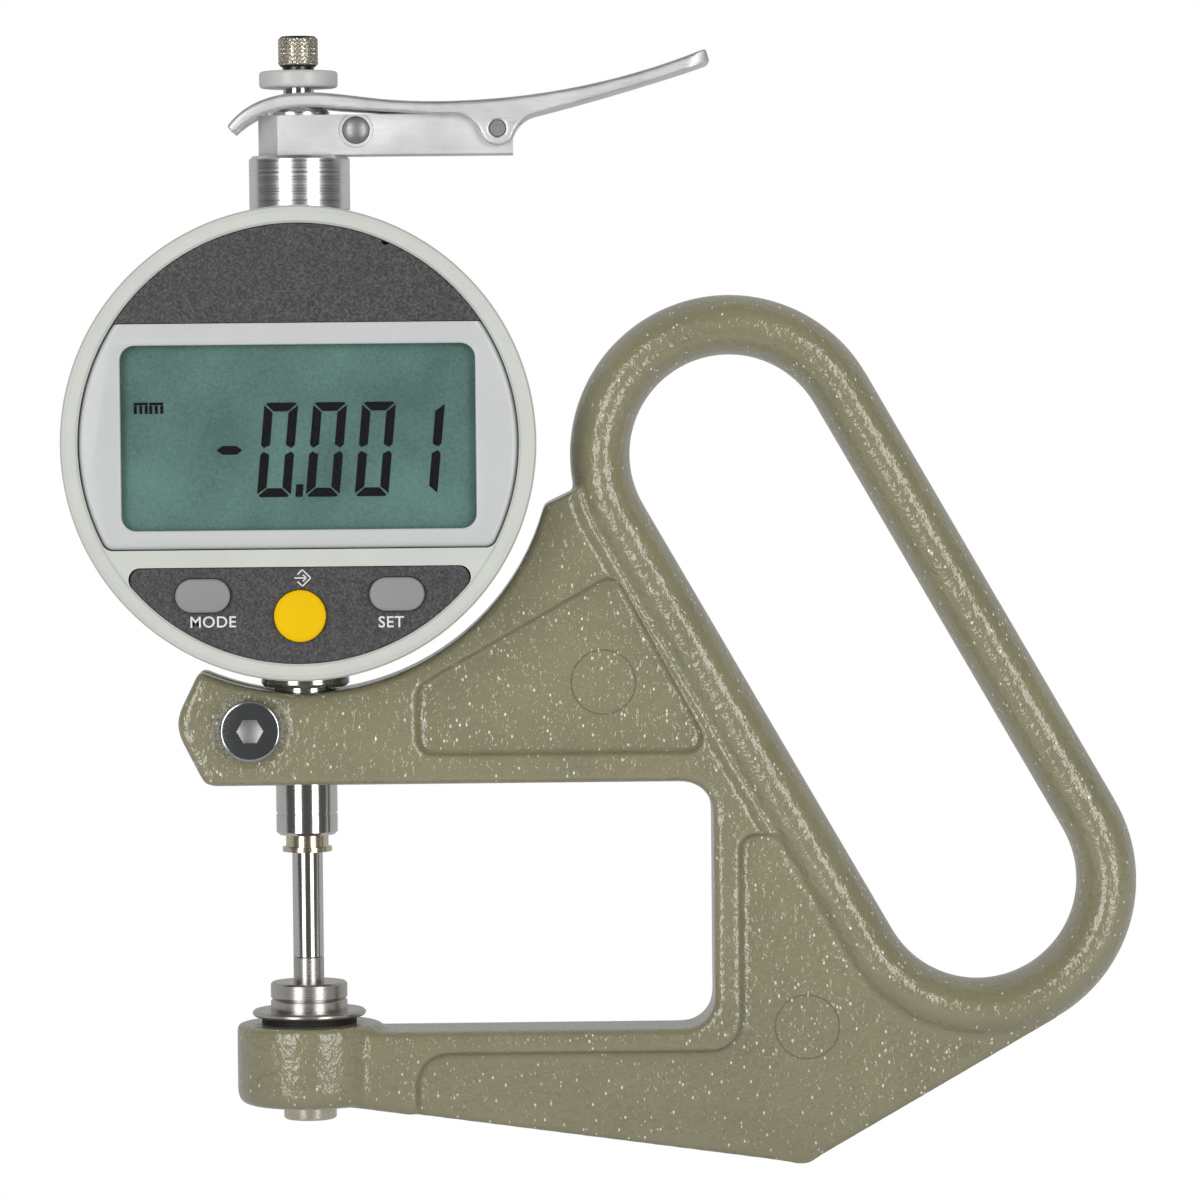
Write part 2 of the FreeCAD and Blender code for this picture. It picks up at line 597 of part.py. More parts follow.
def round_outline(name, base, inside):
    """Round the casting's front and rear outlines, up to the points inside the handle."""
    doc.recompute()
    half = number("frame_thickness / 2")
    radius = number("edge_round")
    hidden = [FreeCAD.Vector(number(x), 0, number(z)) for x, z in inside]

    def is_hidden(vertex):
        level = FreeCAD.Vector(vertex.X, 0, vertex.Z)
        return min(level.distanceToPoint(spot) for spot in hidden) < 1e-3

    edges = []
    for index, edge in enumerate(base.Shape.Edges, start=1):
        box_of_edge = edge.BoundBox
        on_a_face = abs(abs(box_of_edge.YMin) - half) < 1e-3 and box_of_edge.YLength < 1e-3
        if on_a_face and not any(is_hidden(vertex) for vertex in edge.Vertexes):
            edges.append((index, radius, radius))
    item = doc.addObject("Part::Fillet", name)
    item.Base = base
    item.Edges = edges
    return item


def upper_recess():
    """The closed recess in the upper arm, as a block through the plate."""
    floor = f"{ARM_UNDERSIDE} + upper_rim"
    corners = [
        ("upper_recess_start", floor),
        ("throat_depth", floor),
        ("throat_depth - upper_recess_peak_setback", f"{floor} + upper_recess_peak"),
        ("upper_recess_start", f"{floor} + upper_recess_side"),
    ]
    rounds = [(index, "recess_round") for index in range(len(corners))]
    return plate("upper_recess", corners, f"frame_thickness + {PAST}", ("0", "0", "0"), rounds)


def lower_recess():
    """The recess below the throat, open to the lower edge, as a block through."""
    top = "-lower_arm_drop - lower_rim"
    back = "throat_depth + back_rim"
    corners = [
        ("lower_recess_start", f"-frame_heel_drop - {PAST}"),
        ("lower_recess_start", top),
        (back, top),
        (back, "lower_recess_top"),
        (f"{back} + lower_recess_top_width", "lower_recess_top"),
        handle_point("handle_length", "handle_hole_radius + handle_bar_width / 2"),
        handle_point("handle_length + handle_hole_radius + handle_bar_width / 2", "0"),
        handle_point(f"handle_length + 2 * handle_hole_radius + 2 * {PAST}", "0"),
    ]
    rounds = [(1, "throat_corner"), (2, "throat_corner"), (3, "recess_round")]
    return plate("lower_recess", corners, f"frame_thickness + {PAST}", ("0", "0", "0"), rounds)


def pin_mark(name, x, z):
    """The thin ring that an ejector pin leaves, on both faces of the web."""
    length = f"(web_thickness + {END_ROOM})"
    at = (x, f"-{length} / 2", z)
    ring = cut(name, cylinder(f"{name}_disc", "pin_mark_radius", length, at, INTO_DEPTH), [
        cylinder(f"{name}_core", "pin_mark_radius - pin_mark_width", length, at, INTO_DEPTH)])
    depth = "(web_thickness - 2 * pin_mark_depth)"
    width = "(4 * pin_mark_radius)"
    kept = box(f"{name}_kept", (width, depth, width),
               (f"{x} - {width} / 2", f"-{depth} / 2", f"{z} - {width} / 2"))
    return cut(f"{name}_cut", ring, [kept])


def handle_loop():
    """The loop handle: an oval bar swept round two half circles and two sides."""
    body = doc.addObject("PartDesign::Body", "handle_loop")
    middle = "(handle_hole_radius + handle_bar_width / 2)"
    radius, length = number(middle), number("handle_length")
    path = body.newObject("Sketcher::SketchObject", "handle_path")
    path.AttachmentSupport = [(plane_of(body, "XZ_Plane"), "")]
    path.MapMode = "FlatFace"
    vector = FreeCAD.Vector
    normal = vector(0, 0, 1)
    right, down = math.pi / 2, -math.pi / 2
    path.addGeometry(Part.LineSegment(vector(0, radius, 0), vector(length, radius, 0)), False)
    path.addGeometry(Part.ArcOfCircle(
        Part.Circle(vector(length, 0, 0), normal, radius), down, right), False)
    path.addGeometry(Part.LineSegment(vector(length, -radius, 0), vector(0, -radius, 0)), False)
    path.addGeometry(Part.ArcOfCircle(
        Part.Circle(vector(0, 0, 0), normal, radius), right, right + math.pi), False)
    joints = [(0, 2, 1, 2), (1, 1, 2, 1), (2, 2, 3, 2), (3, 1, 0, 1)]
    for first, first_end, second, second_end in joints:
        path.addConstraint(Sketcher.Constraint(
            "Tangent", first, first_end, second, second_end))
    path.addConstraint(Sketcher.Constraint("Coincident", 3, 3, -1, 1))
    path.addConstraint(Sketcher.Constraint("Horizontal", 0))
    bar_radius = path.addConstraint(Sketcher.Constraint("Radius", 3, radius))
    bind(path, f"Constraints[{bar_radius}]", middle)
    reach = path.addConstraint(Sketcher.Constraint("DistanceX", -1, 1, 1, 3, length))
    bind(path, f"Constraints[{reach}]", "handle_length")

    section = body.newObject("Sketcher::SketchObject", "handle_section")
    section.AttachmentSupport = [(plane_of(body, "YZ_Plane"), "")]
    section.MapMode = "FlatFace"
    half_depth, half_width = number("handle_bar_depth / 2"), number("handle_bar_width / 2")
    centre = vector(0, radius, 0)
    section.addGeometry(Part.Ellipse(
        centre + vector(half_depth, 0, 0), centre + vector(0, half_width, 0), centre), False)
    section.exposeInternalGeometry(0)
    section.addConstraint(Sketcher.Constraint("PointOnObject", 0, 3, -2))
    height = section.addConstraint(Sketcher.Constraint("DistanceY", -1, 1, 0, 3, radius))
    bind(section, f"Constraints[{height}]", middle)
    section.addConstraint(Sketcher.Constraint("Horizontal", 1))
    long_axis = section.addConstraint(
        Sketcher.Constraint("DistanceX", 1, 1, 1, 2, 2 * half_depth))
    short_axis = section.addConstraint(
        Sketcher.Constraint("Distance", 2, 1, 2, 2, 2 * half_width))
    bind(section, f"Constraints[{long_axis}]", "handle_bar_depth")
    bind(section, f"Constraints[{short_axis}]", "handle_bar_width")

    sweep = body.newObject("PartDesign::AdditivePipe", "handle_sweep")
    sweep.Profile = section
    sweep.Spine = (path, [])
    body.Placement = FreeCAD.Placement(FreeCAD.Vector(), FreeCAD.Rotation(Y_AXIS, 1))
    bind(body, "Placement.Rotation.Angle", "handle_angle")
    bind(body, "Placement.Base.x", HANDLE_X)
    bind(body, "Placement.Base.z", HANDLE_Z)
    return body


def frame():
    """The whole casting with its machined bores, seat and clamping slot."""
    recessed_plate = round_outline("frame_rounded", *frame_plate())
    web = box("frame_web", ("4 * throat_depth", "web_thickness", "4 * throat_depth"),
              ("-throat_depth", "-web_thickness / 2", "-2 * throat_depth"))
    recesses = cut("recesses", fuse("recess_blocks", [upper_recess(), lower_recess()]), [web])
    marks = [
        pin_mark("upper_mark", "(throat_depth - pin_mark_setback)",
                 f"({ARM_UNDERSIDE} + pin_mark_rise)"),
        pin_mark("lower_mark", "(throat_depth + 3 * throat_corner)", "(-lower_arm_drop)"),
    ]
    plate_done = cut("frame_recessed", recessed_plate, [recesses] + marks)
    boss = turned("anvil_boss", [
        ("0", "0"),
        ("boss_radius - boss_round", "0"),
        (f"boss_radius - {RIM_SHARE} * boss_round", f"{RIM_SHARE} * boss_round"),
        ("boss_radius", "boss_round"),
        ("boss_radius", "boss_height - edge_chamfer"),
        ("boss_radius - edge_chamfer", "boss_height"),
        ("0", "boss_height"),
    ], ("0", "0", BOSS_BOTTOM))
    blank = fuse("frame_blank", [plate_done, handle_loop(), boss])
    stem_bore = cylinder(
        "stem_bore", "stem_radius + seat_fit", f"upper_arm_height + 2 * {PAST}",
        ("0", "0", f"{ARM_UNDERSIDE} - {PAST}"))
    anvil_bore = cylinder(
        "anvil_bore", "lower_anvil_shank + seat_fit", f"boss_height + 2 * {PAST}",
        ("0", "0", f"{BOSS_BOTTOM} - {PAST}"))
    clamp_x = "(-clamp_offset)"
    clamp_z = f"({ARM_UNDERSIDE} + clamp_height)"
    clamp_bore = cylinder(
        "clamp_bore", "clamp_shank_radius + seat_fit", f"frame_thickness + 2 * {PAST}",
        (clamp_x, f"-frame_thickness / 2 - {PAST}", clamp_z), INTO_DEPTH)
    spotface = cylinder(
        "spotface", "spotface_radius", f"spotface_depth + {PAST}",
        (clamp_x, f"-frame_thickness / 2 - {PAST}", clamp_z), INTO_DEPTH)
    slot = box("clamp_slot", (f"arm_nose + {PAST}", "clamp_slot", "upper_arm_height * 2"),
               (f"-arm_nose - {PAST}", "-clamp_slot / 2", f"{ARM_UNDERSIDE} - {PAST}"))
    return cut("frame", blank, [stem_bore, anvil_bore, clamp_bore, spotface, slot])


def clamp_screw():
    """Low-head socket screw that closes the slot round the stem."""
    return screw(
        "clamp_screw", ("clamp_head_radius", "clamp_head_height"),
        ("clamp_shank_radius", "clamp_shank_length"),
        ("-clamp_offset", "-frame_thickness / 2 + spotface_depth - clamp_head_height",
         f"{ARM_UNDERSIDE} + clamp_height"),
        INTO_DEPTH, ("clamp_socket", "clamp_socket_depth"))


# Lower anvil

def lower_anvil():
    """Flat disc with a shank through the boss, tapped from below."""
    shank = "(boss_height + flange_height + seat_ring_height - lower_anvil_recess)"
    depth = f"(anvil_screw_length + {END_ROOM})"
    bore = "anvil_screw_shank + seat_fit"
    return turned("lower_anvil", [
        ("0", depth),
        (bore, depth),
        (bore, "0"),
        ("lower_anvil_shank", "0"),
        ("lower_anvil_shank", shank),
        ("anvil_radius", shank),
        ("anvil_radius", f"{shank} + lower_anvil_height - edge_chamfer"),
        ("anvil_radius - edge_chamfer", f"{shank} + lower_anvil_height"),
        ("0", f"{shank} + lower_anvil_height"),
    ], ("0", "0", f"-lower_anvil_height - {shank}"))


def anvil_flange():
    """Wide disc between anvil and seat ring, with a rounded rim."""
    return turned("anvil_flange", [
        ("lower_anvil_shank + seat_fit", "0"),
        ("flange_radius - edge_chamfer", "0"),
        ("flange_radius", "edge_chamfer"),
        ("flange_radius", "flange_height - edge_chamfer"),
        ("flange_radius - edge_chamfer", "flange_height"),
        ("lower_anvil_shank + seat_fit", "flange_height"),
    ], ("0", "0", "-lower_anvil_height - flange_height"))


def anvil_seat_ring():
    """Black ring between the flange and the painted boss."""
    return washer("anvil_seat_ring", "lower_anvil_shank + seat_fit", "seat_ring_radius",
                  "seat_ring_height", ("0", "0", BOSS_TOP))


def anvil_screw():
    """Screw that pulls the lower anvil down from under the boss."""
    return screw(
        "anvil_screw", ("anvil_screw_radius", "anvil_screw_height"),
        ("anvil_screw_shank", "anvil_screw_length"),
        ("0", "0", f"{BOSS_BOTTOM} - anvil_screw_height"), UPRIGHT,
        ("anvil_screw_shank * 1.6", "anvil_screw_height / 2"))


# Stem and its bushes

def stem():
    """Clamping stem: a tube from below the upper arm into the case."""
    bore = "bush_radius + seat_fit"
    length = f"({CASE_BOTTOM} + stem_inside - {STEM_BOTTOM})"
    groove = "stem_radius - stem_seam_depth"
    return turned("stem", [
        (bore, "0"),
        ("stem_radius - stem_chamfer", "0"),
        ("stem_radius", "stem_chamfer"),
        ("stem_radius", "stem_seam_height"),
        (groove, "stem_seam_height"),
        (groove, "stem_seam_height + stem_seam_width"),
        ("stem_radius", "stem_seam_height + stem_seam_width"),
        ("stem_radius", length),
        (bore, length),
    ], ("0", "0", STEM_BOTTOM))


def lower_bush():
    """Bronze bush in the stem's lower end; its flange shows below the stem."""
    bore = "spindle_radius + running_fit"
    return turned("lower_bush", [
        (bore, "0"),
        ("bush_flange_radius", "0"),
        ("bush_flange_radius", "bush_flange_height"),
        ("bush_radius", "bush_flange_height"),
        ("bush_radius", "bush_length"),
        (bore, "bush_length"),
    ], ("0", "0", f"{STEM_BOTTOM} - bush_neck - bush_flange_height"))


def stem_shoulder():
    """Ring on the stem between the frame's cradle and the case."""
    bore = "stem_radius + seat_fit"
    return turned("stem_shoulder", [
        (bore, "0"),
        ("shoulder_radius - shoulder_chamfer", "0"),
        ("shoulder_radius", "shoulder_chamfer"),
        ("shoulder_radius", "shoulder_height"),
        (bore, "shoulder_height"),
    ], ("0", "0", f"{CASE_BOTTOM} - shoulder_height"))


# Rear case

def post_centres():
    """Centres of the four screw posts in X and Z."""
    for side in ("-post_offset", "post_offset"):
        for level in ("- post_offset", "+ post_offset"):
            yield side, f"{HEAD_Z} {level}"


def rear_case():
    """Round cup behind the display, with the hub that the head turns on."""
    face = HUB_LENGTH
    inside = f"({HUB_LENGTH} + case_face)"
    rim = f"({HUB_LENGTH} + case_front + case_back)"
    groove = "hub_radius - hub_groove_depth"
    cup = turned("case_cup", [
        ("hub_bore", "0"),
        ("hub_radius", "0"),
        ("hub_radius", "hub_lip"),
        (groove, "hub_lip"),
        (groove, "hub_lip + hub_groove_width"),
        ("hub_radius", "hub_lip + hub_groove_width"),
        ("hub_radius", face),
        (f"{CASE_RADIUS} - case_edge", face),
        (CASE_RADIUS, f"{face} + case_edge"),
        (CASE_RADIUS, rim),
        (f"{CASE_RADIUS} - case_wall", rim),
        (f"{CASE_RADIUS} - case_wall", inside),
        ("hub_bore", inside),
    ], ("0", f"-case_front - {HUB_LENGTH}", HEAD_Z), INTO_DEPTH)
    posts = []
    holes = []
    for index, (x, z) in enumerate(post_centres()):
        posts.append(cylinder(f"case_post_{index}", "post_radius",
                              "case_front + case_back - case_face",
                              (x, "-case_front + case_face", z), INTO_DEPTH))
        holes.append(cylinder(f"case_post_hole_{index}", "cover_screw_shank + seat_fit",
                              f"cover_screw_length + {END_ROOM}",
                              (x, "case_back - cover_screw_length", z), INTO_DEPTH))
    stem_hole = cylinder("case_stem_hole", "stem_radius + seat_fit", f"case_wall + 2 * {PAST}",
                         ("0", "0", f"{CASE_BOTTOM} - {PAST}"))
    sleeve_hole = cylinder("case_sleeve_hole", "sleeve_shank_radius + seat_fit",
                           f"case_wall + 2 * {PAST}",
                           ("0", "0", f"{CASE_TOP} - case_wall - {PAST}"))
    pin_hole = cylinder("case_pin_hole", "stop_pin_radius + seat_fit", f"case_face + 2 * {PAST}",
                        ("0", f"-case_front - {PAST}", f"{HEAD_Z} - stop_pin_orbit"), INTO_DEPTH)
    return cut("rear_case", fuse("case_with_posts", [cup] + posts),
               [stem_hole, sleeve_hole, pin_hole] + holes)


def back_cover():
    """Flat cover with an inner rim, screw seats and pillars for the sensor board."""
    inner = f"({CASE_RADIUS} - case_wall - face_gap)"
    disc = turned("cover_disc", [
        ("0", "0"),
        (f"{inner} - cover_lip_wall", "0"),
        (f"{inner} - cover_lip_wall", "-cover_lip"),
        (inner, "-cover_lip"),
        (inner, "0"),
        (CASE_RADIUS, "0"),
        (CASE_RADIUS, "cover_thickness - case_edge"),
        (f"{CASE_RADIUS} - case_edge", "cover_thickness"),
        ("0", "cover_thickness"),
    ], ("0", "case_back", HEAD_Z), INTO_DEPTH)
    pillars = [
        cylinder(f"cover_pillar_{index}", "pillar_radius", PILLAR_LENGTH,
                 (x, SENSOR_BOARD_BACK, z), INTO_DEPTH)
        for index, (x, z) in enumerate(pillar_centres())
    ]
    seats = []
    for index, (x, z) in enumerate(post_centres()):
        seats.append(cylinder(f"cover_hole_{index}", "cover_screw_shank + face_gap",
                              f"cover_thickness + 2 * {PAST}", (x, f"case_back - {PAST}", z),
                              INTO_DEPTH))
        seats.append(cylinder(f"cover_recess_{index}", "cover_screw_head + face_gap",
                              f"cover_screw_recess + {PAST}",
                              (x, "case_back + cover_thickness - cover_screw_recess", z),
                              INTO_DEPTH))
    return cut("back_cover", fuse("cover_with_pillars", [disc] + pillars), seats)


def back_cover_screws():
    """Four small screws that hold the back cover."""
    from_behind = FreeCAD.Rotation(X_AXIS, 90)
    seat = "case_back + cover_thickness - cover_screw_recess + cover_screw_head_height"
    pieces = [
        screw(f"cover_screw_{index}", ("cover_screw_head", "cover_screw_head_height"),
              ("cover_screw_shank", f"cover_screw_length - {END_ROOM}"),
              (x, seat, z), from_behind,
              ("cover_screw_shank * 1.5", "cover_screw_head_height * 0.6"))
        for index, (x, z) in enumerate(post_centres())
    ]
    return group("back_cover_screws", pieces)


def rotation_stop_pin():
    """Pin in the case's front wall that ends the head's turn each way."""
    return cylinder("rotation_stop_pin", "stop_pin_radius", "stop_pin_length",
                    ("0", f"{BACK_PLATE_FRONT} + face_gap", f"{HEAD_Z} - stop_pin_orbit"),
                    INTO_DEPTH)


def head_retaining_ring():
    """Spring ring in the hub's groove that keeps the head on."""
    front = f"-case_front - {HUB_LENGTH} + hub_lip + (hub_groove_width - ring_thickness) / 2"
    ring = washer("ring_blank", "hub_radius - hub_groove_depth + seat_fit", "ring_outer",
                  "ring_thickness", ("0", front, HEAD_Z), INTO_DEPTH)
    gap = box("ring_gap", ("hub_radius", "case_front", f"hub_radius + {PAST}"),
              ("-hub_radius / 2", f"{front} - {END_ROOM}", f"{HEAD_Z} - hub_radius - {PAST}"))
    return cut("head_retaining_ring", ring, [gap])


# Sensor and guide inside the case

SCALE_BACK = "(carrier_depth / 2 + scale_thickness)"
READ_HEAD_FRONT = f"({SCALE_BACK} + read_gap)"
SENSOR_BOARD_FRONT = f"({READ_HEAD_FRONT} + read_head_thickness)"
SENSOR_BOARD_BACK = f"({SENSOR_BOARD_FRONT} + board_thickness)"
PILLAR_LENGTH = f"(case_back + {SINK} - {SENSOR_BOARD_BACK})"
SENSOR_BOARD_BOTTOM = f"({HEAD_Z} - sensor_board_height / 2)"
GUIDE_PIN_X = "(carrier_width / 2 - guide_pin_inset)"
GUIDE_PIN_Z = f"({CARRIER_BOTTOM} + carrier_height / 2)"


def pillar_centres():
    """Centres of the sensor board's four pillars in X and Z."""
    for side in ("-1", "1"):
        for level in ("-1", "1"):
            yield (f"{side} * (sensor_board_width / 2 - pillar_margin)",
                   f"{HEAD_Z} + {level} * (sensor_board_height / 2 - pillar_margin)")


def sensor_board():
    """Circuit board that carries the read head."""
    return box("sensor_board", ("sensor_board_width", "board_thickness", "sensor_board_height"),
               ("-sensor_board_width / 2", SENSOR_BOARD_FRONT, SENSOR_BOARD_BOTTOM))


def read_head():
    """Optical read head in front of the glass scale."""
    return box("read_head", ("read_head_width", "read_head_thickness", "read_head_width"),
               ("-read_head_width / 2", READ_HEAD_FRONT, f"{HEAD_Z} - read_head_width / 2"))


def guide_rail():
    """Slotted rail on the case's front wall: the guide pin slides in its slot."""
    low = f"({CARRIER_BOTTOM} + carrier_height / 2 - guide_pin_radius - guide_rail_end)"
    length = "(spindle_travel + 2 * guide_pin_radius + 2 * guide_rail_end)"
    x = "(carrier_width / 2 + guide_rail_gap)"
    half_slot = "(guide_pin_radius + running_fit)"
    front = "(case_front - case_face)"
    rail = box("rail_block", ("guide_rail_width", f"{front} + {half_slot} + guide_rail_wall",
                              f"{length} + 2 * guide_rail_wall"),
               (x, f"-{front}", f"{low} - guide_rail_wall"))
    slot = box("rail_slot", (f"guide_rail_width + {PAST}", f"2 * {half_slot}", length),
               (f"{x} - {END_ROOM}", f"-{half_slot}", low))
    return cut("guide_rail", rail, [slot])


def scale_carrier():
    """Block clamped on the spindle that carries the scale and the guide pin."""
    block = box("carrier_block", ("carrier_width", "carrier_depth", "carrier_height"),
                ("-carrier_width / 2", "-carrier_depth / 2", CARRIER_BOTTOM))
    bore = cylinder("carrier_bore", "spindle_radius + seat_fit", "carrier_height * 2",
                    ("0", "0", f"{CARRIER_BOTTOM} - {END_ROOM}"))
    pin_hole = cylinder("carrier_pin_hole", "guide_pin_radius + seat_fit", "carrier_width",
                        (GUIDE_PIN_X, "0", GUIDE_PIN_Z), SIDEWAYS)
    return cut("scale_carrier", block, [bore, pin_hole])


def guide_pin():
    """Round pin pressed in the carrier; it keeps the spindle from turning."""
    return cylinder("guide_pin", "guide_pin_radius", "guide_pin_length",
                    (GUIDE_PIN_X, "0", GUIDE_PIN_Z), SIDEWAYS)


def glass_scale():
    """Graduated glass strip on the back of the carrier."""
    return box("glass_scale", ("scale_width", "scale_thickness", "scale_length"),
               ("-scale_width / 2", "carrier_depth / 2", f"{HEAD_Z} - scale_drop"))


# Spindle and what rides on it

def spindle():
    """Measuring spindle, drilled below for the anvil's stud, threaded on top."""
    bore = "contact_stud_radius + seat_fit"
    depth = f"(contact_stud_length + {END_ROOM})"
    body_length = f"({COLLAR_BOTTOM} - {SPINDLE_BOTTOM})"
    end = f"({body_length} + collar_height + cap_height - cap_roof - {SINK})"
    return turned("spindle", [
        ("0", depth),
        (bore, depth),
        (bore, "0"),
        ("spindle_radius", "0"),
        ("spindle_radius", body_length),
        ("top_thread_radius", body_length),
        ("top_thread_radius", end),
        ("0", end),
    ], ("0", "0", SPINDLE_BOTTOM))


def upper_anvil():
    """Flat disc with a neck and a stud that screws into the spindle."""
    return turned("upper_anvil", [
        ("0", "0"),
        ("anvil_radius - edge_chamfer", "0"),
        ("anvil_radius", "edge_chamfer"),
        ("anvil_radius", "upper_anvil_height - edge_chamfer"),
        ("anvil_radius - edge_chamfer", "upper_anvil_height"),
        ("spindle_radius", "upper_anvil_height"),
        ("spindle_radius", f"{CONTACT_TOP} - edge_chamfer / 2"),
        ("spindle_radius - edge_chamfer / 2", CONTACT_TOP),
        ("contact_stud_radius", CONTACT_TOP),
        ("contact_stud_radius", f"{CONTACT_TOP} + contact_stud_length"),
        ("0", f"{CONTACT_TOP} + contact_stud_length"),
    ], ("0", "0", "0"))


def lift_collar():
    """Plastic collar under the cap that the lever pushes up."""
    return washer("lift_collar", "top_thread_radius + seat_fit", "collar_radius",
                  "collar_height", ("0", "0", COLLAR_BOTTOM))


def knurled_cap():
    """Cap nut on the spindle's upper thread."""
    bore = "top_thread_radius + seat_fit"
    return turned("knurled_cap", [
        ("0", "cap_height - cap_roof"),
        (bore, "cap_height - cap_roof"),
        (bore, "0"),
        ("cap_radius - edge_chamfer", "0"),
        ("cap_radius", "edge_chamfer"),
        ("cap_radius", "cap_height - cap_bevel"),
        ("cap_radius - cap_bevel", "cap_height"),
        ("0", "cap_height"),
    ], ("0", "0", f"{COLLAR_BOTTOM} + collar_height"))


def return_spring():
    """Round-wire coil that presses the carrier, and the spindle, down."""
    low = number(f"{CARRIER_BOTTOM} + carrier_height + spring_clearance + spring_wire / 2")
    high = number(f"{UPPER_BUSH_BOTTOM} - spring_clearance - spring_wire / 2")
    turns = number("spring_turns")
    radius = number("spring_radius")
    wire = number("spring_wire / 2")
    helix = Part.makeHelix((high - low) / turns, high - low, radius)
    start = FreeCAD.Vector(radius, 0, 0)
    section = Part.Wire(Part.makeCircle(wire, start, Y_AXIS))
    coil = Part.Wire(helix.Edges).makePipeShell([section], True, True)
    item = doc.addObject("Part::Feature", "return_spring")
    item.Shape = coil
    item.Placement = FreeCAD.Placement(FreeCAD.Vector(0, 0, low), UPRIGHT)
    return item


# Lifting gear on top of the case

def top_sleeve():
    """Bright sleeve on the case, with a spigot inside it."""
    bore = "upper_bush_radius + seat_fit"
    length = "(sleeve_shank_length + sleeve_height)"
    return turned("top_sleeve", [
        (bore, "0"),
        ("sleeve_shank_radius", "0"),
        ("sleeve_shank_radius", "sleeve_shank_length"),
        ("sleeve_radius", "sleeve_shank_length"),
        ("sleeve_radius", f"{length} - sleeve_chamfer"),
        ("sleeve_radius - sleeve_chamfer", length),
        (bore, length),
    ], ("0", "0", f"{CASE_TOP} - sleeve_shank_length"))


def upper_bush():
    """Bush in the sleeve that guides the spindle; the spring rests on its flange."""
    bore = "spindle_radius + running_fit"
    return turned("upper_bush", [
        (bore, "0"),
        ("upper_bush_flange", "0"),
        ("upper_bush_flange", "upper_bush_flange_height"),
        ("upper_bush_radius", "upper_bush_flange_height"),
        ("upper_bush_radius", "upper_bush_length"),
        (bore, "upper_bush_length"),
    ], ("0", "0", UPPER_BUSH_BOTTOM))


def lifter_bracket():
    """Flat bar that carries the lever, with a bevelled nose."""
    half = "bracket_depth / 2"
    nose_x = "(bracket_nose_length - bracket_left)"
    right = "(pivot_reach + bracket_right)"
    body = plate("bracket_bar", [
        ("-bracket_left", "-bracket_nose_depth / 2"),
        (nose_x, f"-{half}"),
        (right, f"-{half}"),
        (right, half),
        (nose_x, half),
        ("-bracket_left", "bracket_nose_depth / 2"),
    ], "bracket_height", ("0", "0", f"{SLEEVE_TOP} + bracket_height / 2"), role="XY_Plane")
    nut_bore = cylinder("bracket_nut_bore", "upper_bush_radius + seat_fit",
                        "bracket_height * 2", ("0", "0", f"{SLEEVE_TOP} - {END_ROOM}"))
    screw_bore = cylinder("bracket_screw_bore", "cross_screw_radius + seat_fit",
                          "bracket_depth * 2",
                          ("cross_screw_reach", "-bracket_depth", PIVOT_Z), INTO_DEPTH)
    screw_rim = cylinder("bracket_screw_rim", "cross_screw_radius + cross_screw_bevel",
                         f"cross_screw_bevel + {PAST}",
                         ("cross_screw_reach", f"-{half} - {PAST}", PIVOT_Z), INTO_DEPTH)
    pivot_bore = cylinder("bracket_pivot_bore", "pivot_radius + seat_fit", "bracket_depth * 2",
                          ("pivot_reach", "-bracket_depth", PIVOT_Z), INTO_DEPTH)
    return cut("lifter_bracket", body, [nut_bore, screw_bore, screw_rim, pivot_bore])


def bracket_nut():
    """Hollow nut that clamps the bracket on the sleeve; the spindle runs through."""
    bore = "spindle_radius + 2 * running_fit"
    return turned("bracket_nut", [
        (bore, "0"),
        ("upper_bush_radius", "0"),
        ("upper_bush_radius", "nut_thread_length"),
        ("nut_radius", "nut_thread_length"),
        ("nut_radius", "nut_thread_length + nut_height - nut_dome"),
        ("nut_radius - nut_dome", "nut_thread_length + nut_height"),
        (bore, "nut_thread_length + nut_height"),
    ], ("0", "0", f"{BRACKET_TOP} - nut_thread_length"))


def bracket_cross_screw():
    """Round-ended cross screw in the bracket."""
    return turned("bracket_cross_screw", [
        ("0", "0"),
        ("cross_screw_radius - cross_screw_bevel", "0"),
        (f"cross_screw_radius - {RIM_SHARE} * cross_screw_bevel",
         f"{RIM_SHARE} * cross_screw_bevel"),
        ("cross_screw_radius", "cross_screw_bevel"),
        ("cross_screw_radius", "bracket_depth"),
        ("0", "bracket_depth"),
    ], ("cross_screw_reach", "-bracket_depth / 2", PIVOT_Z), INTO_DEPTH)


def lever_pivot_pin():
    """Pin through the bracket's end and both cheeks of the lever."""
    return cylinder("lever_pivot_pin", "pivot_radius", "lever_width + 2 * pivot_end",
                    ("pivot_reach", "-lever_width / 2 - pivot_end", PIVOT_Z), INTO_DEPTH)


